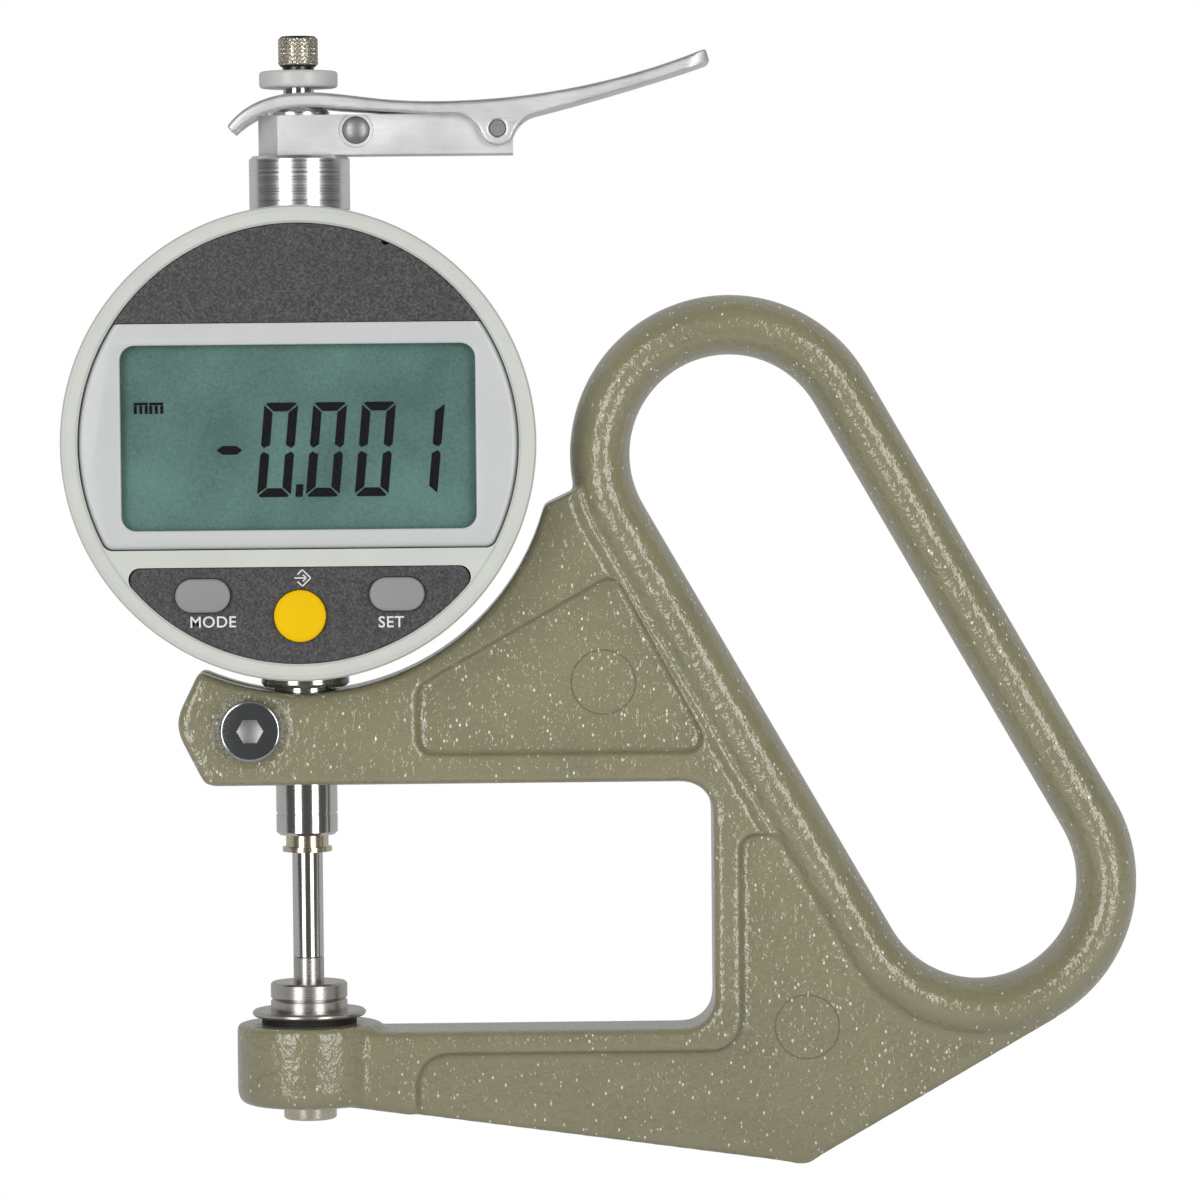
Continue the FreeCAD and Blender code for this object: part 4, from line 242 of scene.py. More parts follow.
@dataclass(frozen=True)
class HammeredEnamel(Finish):
    """Stoved hammer-effect enamel on a casting: glossy, dimpled, with painted glints as pale
    flecks.
    """

    # Colour of the painted glints.
    painted_glint: str = "f0eee0"
    drift: str = "7b785f"
    web_face_mm: float = 4.6
    dimple_mm: float = 1.5
    dimple_height_mm: float = 0.19

    def lay(self, on: Surface) -> None:
        """Dimples about 1.5 mm apart, drifts of colour, and pale flecks that are painted
        glints.
        """
        drift = on.add("TexNoise", {
            "Vector": on.place, "Scale": per(9.0), "Detail": 3.0, "Roughness": 0.6})
        body = on.shade(drift.outputs["Fac"], (0.3, 0.7), 0.55, self.drift)
        # Painted glints: pale flecks in the colour stand in for the lamps' glints in the
        # dimples; real ones are under 0.1 mm, these are drawn 0.25 mm wide so that they show.
        run = on.add("Mapping", {"Vector": on.place, "Scale": (1.0, 1.0, 0.6)})
        cells = on.add("TexVoronoi", {
            "Vector": run.outputs["Vector"], "Scale": per(0.42)})
        spots = on.add("MapRange", {
            "Value": cells.outputs["Distance"], "From Min": 0.16, "From Max": 0.4,
            "To Min": 1.0, "To Max": 0.0})
        chance = on.add("SeparateColor", {"Color": cells.outputs["Color"]})
        clump = on.add("MapRange", {
            "Value": drift.outputs["Fac"], "From Min": 0.38, "From Max": 0.62,
            "To Min": 1.0, "To Max": 0.925})
        # The sunk webs get more painted glints than the raised faces.
        apart = on.add("SeparateXYZ", {"Vector": on.place})
        depth = on.add("Math", {0: apart.outputs["Y"]}, operation="ABSOLUTE")
        web = on.add("Math", {
            0: depth.outputs[0], 1: self.web_face_mm * MM}, operation="LESS_THAN")
        limit = on.add("Math", {
            0: web.outputs[0], 1: -0.05, 2: clump.outputs["Result"]}, operation="MULTIPLY_ADD")
        rare = on.add("Math", {
            0: chance.outputs["Red"], 1: limit.outputs[0]}, operation="GREATER_THAN")
        painted_glint = on.add("Math", {0: spots.outputs["Result"], 1: rare.outputs[0]},
                       operation="MULTIPLY")
        # Mix the painted glints into the colour.
        with_painted_glints = on.add("Mix", {
            "Factor": painted_glint.outputs[0], "A": body, "B": linear(self.painted_glint)}, data_type="RGBA")
        on.plug(with_painted_glints.outputs["Result"], "Base Color")
        dimples = on.add("TexVoronoi", {
            "Vector": on.place, "Scale": per(self.dimple_mm), "Smoothness": 0.8},
            feature="SMOOTH_F1")
        ripple = on.add("TexNoise", {
            "Vector": on.place, "Scale": per(0.8), "Detail": 2.0, "Roughness": 0.55})
        relief = on.add("Math", {
            0: dimples.outputs["Distance"], 1: 0.6, 2: ripple.outputs["Fac"]},
            operation="MULTIPLY_ADD")
        tilt = on.emboss(relief.outputs[0], self.dimple_height_mm, 1.0)
        on.plug(tilt, "Coat Normal")
        on.shader.inputs["Coat Weight"].default_value = 0.8
        on.shader.inputs["Coat Roughness"].default_value = 0.08
        on.shader.inputs["Coat IOR"].default_value = 1.8


@dataclass(frozen=True)
class TurnedMetal(Finish):
    """Bare metal off a lathe or cylindrical grinder: fine rings round an upright axis."""

    pitch_mm: float = 0.12
    ring_height_mm: float = 0.004
    stain: str = "8d8f90"

    def lay(self, on: Surface) -> None:
        """Tool marks in rings, which smear the highlights along the axis."""
        apart = on.add("SeparateXYZ", {"Vector": on.place})
        # Ground marks are a few micrometres apart; they are drawn about 0.1 mm apart.
        marks = on.add("TexNoise", {
            "W": apart.outputs["Z"], "Scale": per(self.pitch_mm), "Detail": 3.0},
            noise_dimensions="1D")
        cloud = on.add("TexNoise", {
            "Vector": on.place, "Scale": per(3.0), "Detail": 2.0})
        on.shade(cloud.outputs["Fac"], (0.35, 0.75), 0.3, self.stain)
        on.wear(marks.outputs["Fac"], (0.75, 1.3))
        on.emboss(marks.outputs["Fac"], self.ring_height_mm, 0.5)


@dataclass(frozen=True)
class BrushedMetal(Finish):
    """Blasted or brushed metal: fine scratches along its length."""

    scratch_mm: float = 0.15
    scratch_height_mm: float = 0.006
    along: tuple[float, float, float] = (0.04, 1.0, 1.0)
    handled: str = "8e8e8c"

    def lay(self, on: Surface) -> None:
        """Scratches 25 times longer than wide, with soft cloudy wear over them."""
        drawn = on.add("Mapping", {"Vector": on.place, "Scale": self.along})
        scratches = on.add("TexNoise", {
            "Vector": drawn.outputs["Vector"], "Scale": per(self.scratch_mm), "Detail": 4.0})
        cloud = on.add("TexNoise", {
            "Vector": on.place, "Scale": per(5.0), "Detail": 3.0})
        on.shade(cloud.outputs["Fac"], (0.35, 0.7), 0.25, self.handled)
        on.wear(scratches.outputs["Fac"], (0.8, 1.25))
        on.emboss(scratches.outputs["Fac"], self.scratch_height_mm, 0.4)


@dataclass(frozen=True)
class PlatedMetal(Finish):
    """Electroplate over steel or brass: a crystalline cloud under a thin bright skin."""

    crystal_mm: float = 0.6
    crystal_height_mm: float = 0.01
    shade: str = "8c9094"

    def lay(self, on: Surface) -> None:
        """Soft patches of tone and roughness, as passivated plate has."""
        crystal = on.add("TexNoise", {
            "Vector": on.place, "Scale": per(self.crystal_mm), "Detail": 4.0, "Roughness": 0.6})
        on.shade(crystal.outputs["Fac"], (0.35, 0.7), 0.5, self.shade)
        on.wear(crystal.outputs["Fac"], (0.7, 1.3))
        on.emboss(crystal.outputs["Fac"], self.crystal_height_mm, 0.3)


@dataclass(frozen=True)
class KnurledNickel(Finish):
    """Nickel plate over a rolled knurl, with painted shade dark in its pits."""

    # Colour of the painted shade in the knurl's pits.
    pit_shade: str = "1f1c17"
    pit_radius: float = 2.40
    peak_radius: float = 2.50

    def lay(self, on: Surface) -> None:
        """Paint shade on whatever lies nearer to the axis than the knurl's crests."""
        flat = on.add("VectorMath", {0: on.place, 1: (1.0, 1.0, 0.0)}, operation="MULTIPLY")
        radius = on.add("VectorMath", {0: flat.outputs["Vector"]}, operation="LENGTH")
        depth = on.add("MapRange", {
            "Value": radius.outputs["Value"], "From Min": self.pit_radius * MM,
            "From Max": self.peak_radius * MM, "To Min": 0.9, "To Max": 0.0})
        on.tint(depth.outputs["Result"], self.pit_shade)


@dataclass(frozen=True)
class MouldedPlastic(Finish):
    """Injection-moulded ABS or silicone with a spark-eroded mould texture."""

    shade: str = "c0c3bd"
    grain_mm: float = 0.18
    grain_height_mm: float = 0.008
    coat: float = 0.0

    def lay(self, on: Surface) -> None:
        """An even fine grain, a slow drift of tone and a little even sheen from the coat."""
        grain = on.add("TexNoise", {
            "Vector": on.place, "Scale": per(self.grain_mm), "Detail": 2.0, "Roughness": 0.6})
        drift = on.add("TexNoise", {
            "Vector": on.place, "Scale": per(7.0), "Detail": 2.0})
        on.shade(drift.outputs["Fac"], (0.3, 0.7), 0.5, self.shade)
        on.wear(grain.outputs["Fac"], (0.85, 1.2))
        on.emboss(grain.outputs["Fac"], self.grain_height_mm, 0.5)
        on.shader.inputs["Coat Weight"].default_value = self.coat
        on.shader.inputs["Coat Roughness"].default_value = 0.2


@dataclass(frozen=True)
class GrainedFoil(Finish):
    """Back-printed, embossed polyester foil: near-black with a fine salt-and-pepper grain."""

    light: str = "6d6d6e"
    grain_mm: float = 0.28
    emboss_mm: float = 0.02

    def lay(self, on: Surface) -> None:
        """Emboss of 0.1 mm, drawn near 0.3 mm so that its sparkle shows."""
        grain = on.add("TexNoise", {
            "Vector": on.place, "Scale": per(self.grain_mm), "Detail": 3.0, "Roughness": 0.75})
        on.shade(grain.outputs["Fac"], (0.42, 0.72), 0.8, self.light)
        on.emboss(grain.outputs["Fac"], self.emboss_mm, 0.6)


@dataclass(frozen=True)
class LiquidCrystal(Finish):
    """Reflective liquid crystal cell: green-grey, grainy reflector behind polished glass."""

    deep: str = "476560"

    def lay(self, on: Surface) -> None:
        """Grain of the reflector foil, 0.3 mm, and a faint cloud over it."""
        grain = on.add("TexNoise", {
            "Vector": on.place, "Scale": per(0.3), "Detail": 3.0, "Roughness": 0.7})
        cloud = on.add("TexNoise", {"Vector": on.place, "Scale": per(14.0)})
        both = on.add("Math", {
            0: grain.outputs["Fac"], 1: 0.8, 2: cloud.outputs["Fac"]},
            operation="MULTIPLY_ADD")
        on.shade(both.outputs[0], (0.72, 1.08), 1.0, self.deep)
        on.shader.inputs["Specular IOR Level"].default_value = 0.2


@dataclass(frozen=True)
class ClearPane(Finish):
    """Polished acrylic: only its reflections show."""

    cover: float = 0.006

    def lay(self, on: Surface) -> None:
        """Faint wipe marks in the gloss."""
        wipes = on.add("TexNoise", {"Vector": on.place, "Scale": per(4.0)})
        rough = on.add("MapRange", {
            "Value": wipes.outputs["Fac"], "To Min": self.roughness, "To Max": 0.12})
        on.plug(rough.outputs["Result"], "Roughness")
        on.shader.inputs["Alpha"].default_value = self.cover


@dataclass(frozen=True)
class PrintedInk(Finish):
    """Screen-printed ink, with the slight mottle of the mesh."""

    thin: str = "b9b9b9"

    def lay(self, on: Surface) -> None:
        """Mottle of 0.2 mm."""
        mottle = on.add("TexNoise", {
            "Vector": on.place, "Scale": per(0.2), "Detail": 2.0})
        on.shade(mottle.outputs["Fac"], (0.45, 0.75), 0.5, self.thin)


@dataclass(frozen=True)
class SolderMask(Finish):
    """Glass-fibre board under green solder mask: faint weave, tracks below it."""

    weave_mm: float = 0.5
    track: str = "2c7a45"

    def lay(self, on: Surface) -> None:
        """Weave of the glass cloth as a checker, and tracks as bands."""
        weave = on.add("TexChecker", {
            "Vector": on.place, "Scale": per(self.weave_mm)})
        tracks = on.add("TexBrick", {
            "Vector": on.place, "Scale": per(6.0), "Mortar Size": 0.04})
        both = on.add("Math", {
            0: weave.outputs["Fac"], 1: 0.15, 2: tracks.outputs["Fac"]},
            operation="MULTIPLY_ADD")
        on.tint(both.outputs[0], self.track)


class Material(Enum):
    """Every finish on the gauge."""

    ENAMEL = HammeredEnamel("hammer_enamel_on_casting", "8d8868", 0.36)
    # Darker enamel for the ring round each pin mark: painted shade of its hairline groove.
    GROOVE_SHADE = HammeredEnamel("painted_groove_shade_enamel", "5f5c47", 0.5)
    GROUND = TurnedMetal("ground_tool_steel", "dad9d6", 0.13, 1.0,
                         ring_height_mm=0.0006, stain="bebdba")
    LAPPED = TurnedMetal("lapped_carbide", "cac7c2", 0.29, 1.0, ring_height_mm=0.001,
                         stain="a8a5a0")
    PIN = TurnedMetal("centreless_ground_pin", "b0b0ae", 0.45, 1.0)
    SATIN_NICKEL = TurnedMetal("satin_nickel_sleeve", "f0f0f0", 0.25, 1.0, pitch_mm=0.3,
                               ring_height_mm=0.0001, stain="d6d6d6")
    BRONZE = TurnedMetal("turned_bronze", "e0d6bc", 0.20, 1.0, ring_height_mm=0.001,
                         stain="c2b491")
    ALLOY = BrushedMetal("blasted_aluminium", "f0f0f0", 0.55, 0.85)
    LEVER = BrushedMetal("blasted_nickel_steel", "f6f6f6", 0.48, 0.9)
    ZINC = PlatedMetal("bright_zinc_plate", "c6cacc", 0.14, 1.0, crystal_height_mm=0.03,
                       crystal_mm=0.35)
    NICKEL = PlatedMetal("nickel_plated_brass", "ddd6c6", 0.20, 1.0, crystal_mm=0.4,
                         shade="bab29e")
    KNURL = KnurledNickel("knurled_nickel_plate", "f4eee0", 0.30, 1.0)
    SPRING = TurnedMetal("drawn_spring_wire", "a5a8ab", 0.3, 1.0)
    CASE = MouldedPlastic("moulded_pale_abs", "cbcec7", 0.42)
    SURROUND = MouldedPlastic("satin_pale_abs", "c7c9c8", 0.3, shade="c0c2c2",
                              grain_height_mm=0.003, coat=0.15)
    COLLAR = MouldedPlastic("natural_polyamide", "c4c5c2", 0.35, shade="bfc0bd", coat=0.3)
    BLACK = MouldedPlastic("black_polyamide", "262626", 0.5, shade="1c1c1c")
    # A black ring under the anvil flange.
    BLACK_RING = MouldedPlastic("black_ring_under_flange", "1b1b1b", 0.6, shade="242424", grain_mm=0.3)
    RUBBER = MouldedPlastic("grey_silicone", "58585a", 0.6, shade="4c4c4e")
    GREY_KEY = MouldedPlastic("grey_silicone_key", "8f8f8f", 0.5, shade="868686")
    YELLOW_KEY = MouldedPlastic("yellow_silicone_key", "ecc000", 0.7, ior=1.25,
                                shade="e2b400")
    PLATE = GrainedFoil("embossed_dark_foil", "343435", 0.45)
    CRYSTAL = LiquidCrystal("reflective_display_cell", "5c8078", 0.40)
    DIGIT = PrintedInk("switched_on_segments", "060609", 0.8, ior=1.1, thin="0a0a0f")
    PANE = ClearPane("polished_acrylic", "ffffff", 0.04, ior=1.49)
    INK = PrintedInk("white_screen_ink", "e3e3e3", 0.5)
    BOARD = SolderMask("green_solder_mask", "1d5a30", 0.35)
    SCALE = ClearPane("graduated_glass", "e4f0ea", 0.03, ior=1.52, cover=0.45)


# Shaping


def new_piece(name: str, mesh: bmesh.types.BMesh | bpy.types.Mesh, finish: Material,
              body: str | None, slot: str, smooth_deg: float = 30.0) -> bpy.types.Object:
    """Make an object that rides on a body and takes a finish.

    Args:
        name: The piece's name.
        mesh: Its shape, in metres in the row frame.
        finish: Its finish.
        body: The body that it rides on, or none where it bends between two.
        slot: The material slot of the record that it belongs to; not used.
        smooth_deg: Edges sharper than this stay sharp.

    Returns:
        The new object.
    """
    if isinstance(mesh, bmesh.types.BMesh):
        data = bpy.data.meshes.new(name)
        mesh.to_mesh(data)
        mesh.free()
    else:
        data = mesh
        data.name = name
    data.materials.clear()
    data.materials.append(finish.value.material())
    data.shade_smooth()
    data.set_sharp_from_angle(angle=math.radians(smooth_deg))
    piece = bpy.data.objects.new(name, data)
    bpy.context.scene.collection.objects.link(piece)
    if body is not None:
        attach(piece, body)
    log.info("piece %s: %d faces", name, len(data.polygons))
    return piece


def baked(piece: bpy.types.Object) -> bpy.types.Mesh:
    """The mesh of an object with its modifiers applied; the object is removed."""
    graph = bpy.context.evaluated_depsgraph_get()
    mesh = bpy.data.meshes.new_from_object(piece.evaluated_get(graph))
    bpy.data.objects.remove(piece)
    return mesh


def rectangle(left: float, right: float, low: float, high: float) -> list[Point]:
    """Corners of an upright rectangle."""
    return [(left, low), (right, low), (right, high), (left, high)]


def slab(outlines: Iterable[Sequence[Point]], front: float, back: float,
         bevel: float = 0.0) -> bmesh.types.BMesh:
    """Flat shapes in the X-Z plane with a thickness along Y.

    Args:
        outlines: Closed outlines in millimetres.
        front: Y of the face towards the viewer, in millimetres.
        back: Y of the rear face, in millimetres.
        bevel: Width of the broken front edge, in millimetres.

    Returns:
        The shapes as one mesh.
    """
    mesh = bmesh.new()
    for outline in outlines:
        corners = [mesh.verts.new((x * MM, front * MM, z * MM)) for x, z in outline]
        face = mesh.faces.new(corners)
        face.normal_update()
        if face.normal.y > 0:
            face.normal_flip()
        rim = list(face.edges)
        grown = bmesh.ops.extrude_face_region(mesh, geom=[face])
        moved = [item for item in grown["geom"] if isinstance(item, bmesh.types.BMVert)]
        bmesh.ops.translate(mesh, verts=moved, vec=(0, (back - front) * MM, 0))
        if bevel:
            bmesh.ops.bevel(mesh, geom=rim, offset=bevel * MM, segments=2, profile=0.5,
                            affect="EDGES", clamp_overlap=True)
    bmesh.ops.recalc_face_normals(mesh, faces=mesh.faces)
    return mesh


def trimmed(node: str, edges: Sequence[tuple[float, Callable[[Vector], bool]]]
            ) -> bmesh.types.BMesh:
    """A node's shape with some of its sharp edges rounded.

    Args:
        node: The node's name.
        edges: Radii in millimetres, each with a test of an edge's middle point.

    Returns:
        The rounded shape.
    """
    mesh = bmesh.new()
    mesh.from_mesh(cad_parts[node].data)
    bmesh.ops.remove_doubles(mesh, verts=mesh.verts, dist=1e-7)
    bmesh.ops.dissolve_limit(mesh, angle_limit=math.radians(0.5), verts=mesh.verts,
                             edges=mesh.edges)
    for radius, chosen in edges:
        sharp = [edge for edge in mesh.edges
                 if len(edge.link_faces) == 2 and edge.calc_face_angle() > math.radians(25)
                 and chosen((edge.verts[0].co + edge.verts[1].co) / (2 * MM))]
        bmesh.ops.bevel(mesh, geom=sharp, offset=radius * MM, segments=3, profile=0.5,
                        affect="EDGES", clamp_overlap=True)
    return mesh


def softened(node: str, voxel_mm: float, passes: int) -> bpy.types.Mesh:
    """A skin over a node's shape with every edge and corner rounded.

    Args:
        node: The node's name.
        voxel_mm: Size of the cells that the skin is made from.
        passes: Smoothing passes; more make the edges rounder.

    Returns:
        The skin.
    """
    rough = bpy.data.objects.new(f"{node}_rough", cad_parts[node].data.copy())
    bpy.context.scene.collection.objects.link(rough)
    skin = rough.modifiers.new("skin", "REMESH")
    skin.mode = "VOXEL"
    skin.voxel_size = voxel_mm * MM
    soften = rough.modifiers.new("soften", "SMOOTH")
    soften.factor = 0.5
    soften.iterations = passes
    return baked(rough)


def lathe(profile: Sequence[Point], at: tuple[float, float, float],
          spokes: int) -> bmesh.types.BMesh:
    """A closed turned shape whose axis runs along Y.

    Args:
        profile: Radius and depth pairs in millimetres, from the axis to the axis.
        at: The point on the axis at depth nought, in millimetres.
        spokes: Sides.

    Returns:
        The shape.
    """
    mesh = bmesh.new()
    rows: list[list[bmesh.types.BMVert]] = []
    for radius, depth in profile:
        turns = [0.0] if radius == 0 else [math.tau * spoke / spokes for spoke in range(spokes)]
        rows.append([mesh.verts.new(((at[0] + radius * math.cos(turn)) * MM,
                                     (at[1] + depth) * MM,
                                     (at[2] + radius * math.sin(turn)) * MM))
                     for turn in turns])
    for near, far in zip(rows, rows[1:]):
        for spoke in range(spokes):
            ring = [row[index % len(row)] for row in (near, far)
                    for index in ((spoke, spoke + 1) if row is near else (spoke + 1, spoke))]
            mesh.faces.new(list(dict.fromkeys(ring)))
    bmesh.ops.remove_doubles(mesh, verts=mesh.verts, dist=1e-7)
    bmesh.ops.recalc_face_normals(mesh, faces=mesh.faces)
    return mesh


class Dresser:
    """Base of each sub-assembly: finishes for the nodes that keep their shape."""

    finishes: ClassVar[dict[str, Material]] = {}

    def dress(self) -> None:
        """Give each node that stays its finish."""
        for name, finish in self.finishes.items():
            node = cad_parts[name]
            node.data.materials.clear()
            node.data.materials.append(finish.value.material())
            log.info("node %s: %s", name, finish.value.name)

    def build(self) -> None:
        """Build what the sub-assembly needs beyond its nodes."""


@dataclass
class Casting(Dresser):
    """The bow frame: a casting with soft edges and hollows, enamelled.

    Attributes:
        voxel_mm: Size of the cells that the soft skin is made from.
        passes: Smoothing passes; more make the cast edges rounder.
        screw_at: Middle of the clamp screw's face.
        screw_edge: Rounded rim of its head.
        screw_rim: Depth of the head's front that the rim lies in.
        socket: Its hexagon, across flats.
        socket_depth: Where the hexagon's straight walls end.
        drill_depth: Tip of the drilled cone below them.
        marks: Middles of the round ejector pin marks in the webs.
        mark_radius: Their radius.
        mark_line: Width of the dark ring round each, painted shade of its hairline groove.
        mark_rise: Height of the line above the web.
        mark_thickness: Thickness of the line, mostly sunk.
        mark_spokes: Sides of the line.
        web_face: Half the thickness of the web.
        loop_ends: Centres of the handle loop's round ends.
        bar_middle: From those centres to the middle of the bar.
        bar_half: Half the bar's width and height.
        groove_middle: Deepest line of the groove beside the bar.
        groove_end: Where the groove has run out on the plate.
        groove_floor: Height of its floor above the middle plane.
        pad_face: Half the thickness of the plate.
        groove_passes: Smoothing passes over the groove.
        tip_top: The plate's lowest corner lies below this height.
    """

    voxel_mm: float = 0.42
    passes: int = 14
    screw_at: tuple[float, float, float] = (-6.95, -8.0, 35.5)
    screw_edge: float = 0.28
    screw_rim: float = 0.4
    socket: float = 3.0
    socket_depth: float = 1.2
    drill_depth: float = 1.75
    marks: tuple[Point, ...] = ((38.8, 41.2), (64.95, -4.05))
    mark_radius: float = 4.25
    mark_line: float = 0.15
    mark_rise: float = 0.03
    mark_thickness: float = 0.1
    mark_spokes: int = 72
    web_face: float = 4.1
    loop_ends: tuple[Point, Point] = ((55.5, 70.6), (87.65, 14.57))
    bar_middle: float = 16.83
    bar_half: Point = (4.2, 6.5)
    groove_middle: float = 20.2
    groove_end: float = 21.4
    groove_floor: float = 4.7
    pad_face: float = 6.05
    groove_passes: int = 3
    tip_top: float = -19.5

    finishes: ClassVar[dict[str, Material]] = {
        "lower_anvil": Material.LAPPED,
        "anvil_flange": Material.LAPPED,
        "anvil_seat_ring": Material.BLACK_RING,
        "anvil_screw": Material.NICKEL,
    }

    def build(self) -> None:
        """Cover the casting with its soft skin, fit the clamp screw and mark the webs."""
        skin = self.grooved(softened("frame", self.voxel_mm, self.passes))
        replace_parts(new_piece("enamelled_casting", skin, Material.ENAMEL, "frame",
                              "cast_paint", smooth_deg=180.0), "frame")
        self.clamp_screw()
        self.pin_marks()

    def clamp_screw(self) -> None:
        """Round the screw's head and end its hexagon socket in a drilled cone."""
        x, front, z = self.screw_at
        head = trimmed("clamp_screw", [
            (self.screw_edge, lambda middle: middle.y < front + self.screw_rim
             and math.hypot(middle.x - x, middle.z - z) > self.socket)])
        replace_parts(new_piece("plated_clamp_screw", head, Material.ZINC, "frame", "zinc",
                              smooth_deg=25.0), "clamp_screw")
        cone = bmesh.new()
        reach = self.socket / math.sqrt(3)
        tip = cone.verts.new((x * MM, (front + self.drill_depth) * MM, z * MM))
        rim = [cone.verts.new(((x + reach * math.cos(math.tau * corner / 6)) * MM,
                               (front + self.socket_depth) * MM,
                               (z + reach * math.sin(math.tau * corner / 6)) * MM))
               for corner in range(6)]
        for corner in range(6):
            cone.faces.new((tip, rim[corner], rim[(corner + 1) % 6]))
        new_piece("clamp_socket_floor", cone, Material.PIN, "frame", "zinc")

    def pin_marks(self) -> None:
        """Lay a dark ring of painted groove shade round each ejector pin mark, on both sides of
        the web.
        """
        inner, thick = self.mark_radius - self.mark_line, self.mark_thickness
        ring = [(inner, 0.0), (self.mark_radius, 0.0), (self.mark_radius, thick),
                (inner, thick), (inner, 0.0)]
        top = self.web_face + self.mark_rise
        for place, (x, z) in enumerate(self.marks):
            for side, face in (("front", -top), ("back", top - thick)):
                # Each ring is painted shade in the pin mark's groove.
                line = lathe(ring, (x, face, z), self.mark_spokes)
                new_piece(f"pin_mark_{place + 1}_{side}", line, Material.GROOVE_SHADE, "frame",
                          "cast_paint")

    def grooved(self, skin: bpy.types.Mesh) -> bmesh.types.BMesh:
        """Round the handle's bar down to a groove where it lies on the plate.

        The plate's lowest corner is dressed level with the web.

        Args:
            skin: The casting's skin.

        Returns:
            The same skin with the groove in both of its faces.
        """
        mesh = bmesh.new()
        mesh.from_mesh(skin)
        (x0, z0), (x1, z1) = self.loop_ends
        length = math.hypot(x1 - x0, z1 - z0)
        along_x, along_z = (x1 - x0) / length, (z1 - z0) / length
        touched = []
        for vertex in mesh.verts:
            x, y, z = vertex.co / MM
            if z < self.tip_top and abs(y) > self.web_face:
                vertex.co.y = math.copysign(self.web_face * MM, y)
            run = min(max((x - x0) * along_x + (z - z0) * along_z, 0.0), length)
            out = math.hypot(x - x0 - run * along_x, z - z0 - run * along_z)
            limit = self.bar_height(out)
            if limit is None or abs(y) < self.web_face:
                continue
            touched.append(vertex)
            if abs(y) > limit:
                vertex.co.y = math.copysign(limit * MM, y)
        for _ in range(self.groove_passes):
            bmesh.ops.smooth_vert(mesh, verts=touched, factor=0.5, use_axis_x=False,
                                  use_axis_y=True, use_axis_z=False)
        return mesh

    def bar_height(self, out: float) -> float | None:
        """Highest that the bar or the groove beside it may stand.

        Args:
            out: Distance from the line between the loop's two centres.

        Returns:
            Height above the middle plane, or none away from the bar's outer half.
        """
        share = (out - self.bar_middle) / self.bar_half[0]
        if share < 0 or out > self.groove_end:
            return None
        if out > self.groove_middle:
            rise = (out - self.groove_middle) / (self.groove_end - self.groove_middle)
            return self.groove_floor + (self.pad_face - self.groove_floor) * rise
        return max(self.groove_floor, self.bar_half[1] * math.sqrt(max(0.0, 1 - share ** 2)))


@dataclass
class Stem(Dresser):
    """The clamping stem with its bushes, and the sleeve above the case."""

    finishes: ClassVar[dict[str, Material]] = {
        "stem": Material.GROUND,
        "lower_bush": Material.BRONZE,
        "stem_shoulder": Material.GROUND,
        "top_sleeve": Material.SATIN_NICKEL,
        "upper_bush": Material.BRONZE,
        "guide_rail": Material.ALLOY,
    }


@dataclass
class RearCase(Dresser):
    """The fixed housing behind the turning head."""

    finishes: ClassVar[dict[str, Material]] = {
        "rear_case": Material.CASE,
        "back_cover": Material.CASE,
        "back_cover_screws": Material.ZINC,
        "rotation_stop_pin": Material.ZINC,
        "head_retaining_ring": Material.ZINC,
        "sensor_board": Material.BOARD,
        "read_head": Material.BLACK,
    }


@dataclass
class Lifter(Dresser):
    """Bracket, lever and their pins on top of the sleeve.

    Attributes:
        voxel_mm: Size of the cells of the lever's skin.
        passes: Smoothing passes over it.
        bracket_edge: Radius of the bracket's tumbled edges.
        dome_height: Height of the cross screw's dome.
        dome_rings: Radii of the dome's rings, as shares of its own.
        dome_spokes: Its sides.
    """

    voxel_mm: float = 0.17
    passes: int = 14
    bracket_edge: float = 0.3
    dome_height: float = 0.75
    dome_rings: tuple[float, ...] = (0.0, 0.2, 0.4, 0.6, 0.72, 0.84, 0.93, 1.0)
    dome_spokes: int = 48

    finishes: ClassVar[dict[str, Material]] = {
        "bracket_nut": Material.SATIN_NICKEL,
        "lever_pivot_pin": Material.PIN,
    }

    def build(self) -> None:
        """Soften the lever, break the bracket's edges and dome its cross screw."""
        skin = softened("lifting_lever", self.voxel_mm, self.passes)
        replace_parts(new_piece("blasted_lever", skin, Material.LEVER, "lever",
                              "satin_alloy", smooth_deg=180.0), "lifting_lever")
        bar = trimmed("lifter_bracket", [(self.bracket_edge, lambda middle: True)])
        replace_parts(new_piece("tumbled_bracket", bar, Material.ALLOY, "frame",
                              "satin_alloy"), "lifter_bracket")
        low, high = (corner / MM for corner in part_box("bracket_cross_screw"))
        radius = (high.x - low.x) / 2
        dome = lathe([(radius * share, self.dome_height * (1 - math.sqrt(1 - share ** 2)))
                      for share in self.dome_rings]
                     + [(radius, high.y - low.y), (0.0, high.y - low.y)],
                     ((low.x + high.x) / 2, low.y, (low.z + high.z) / 2), self.dome_spokes)
        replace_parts(new_piece("domed_cross_screw", dome, Material.PIN, "frame",
                              "ground_steel"), "bracket_cross_screw")


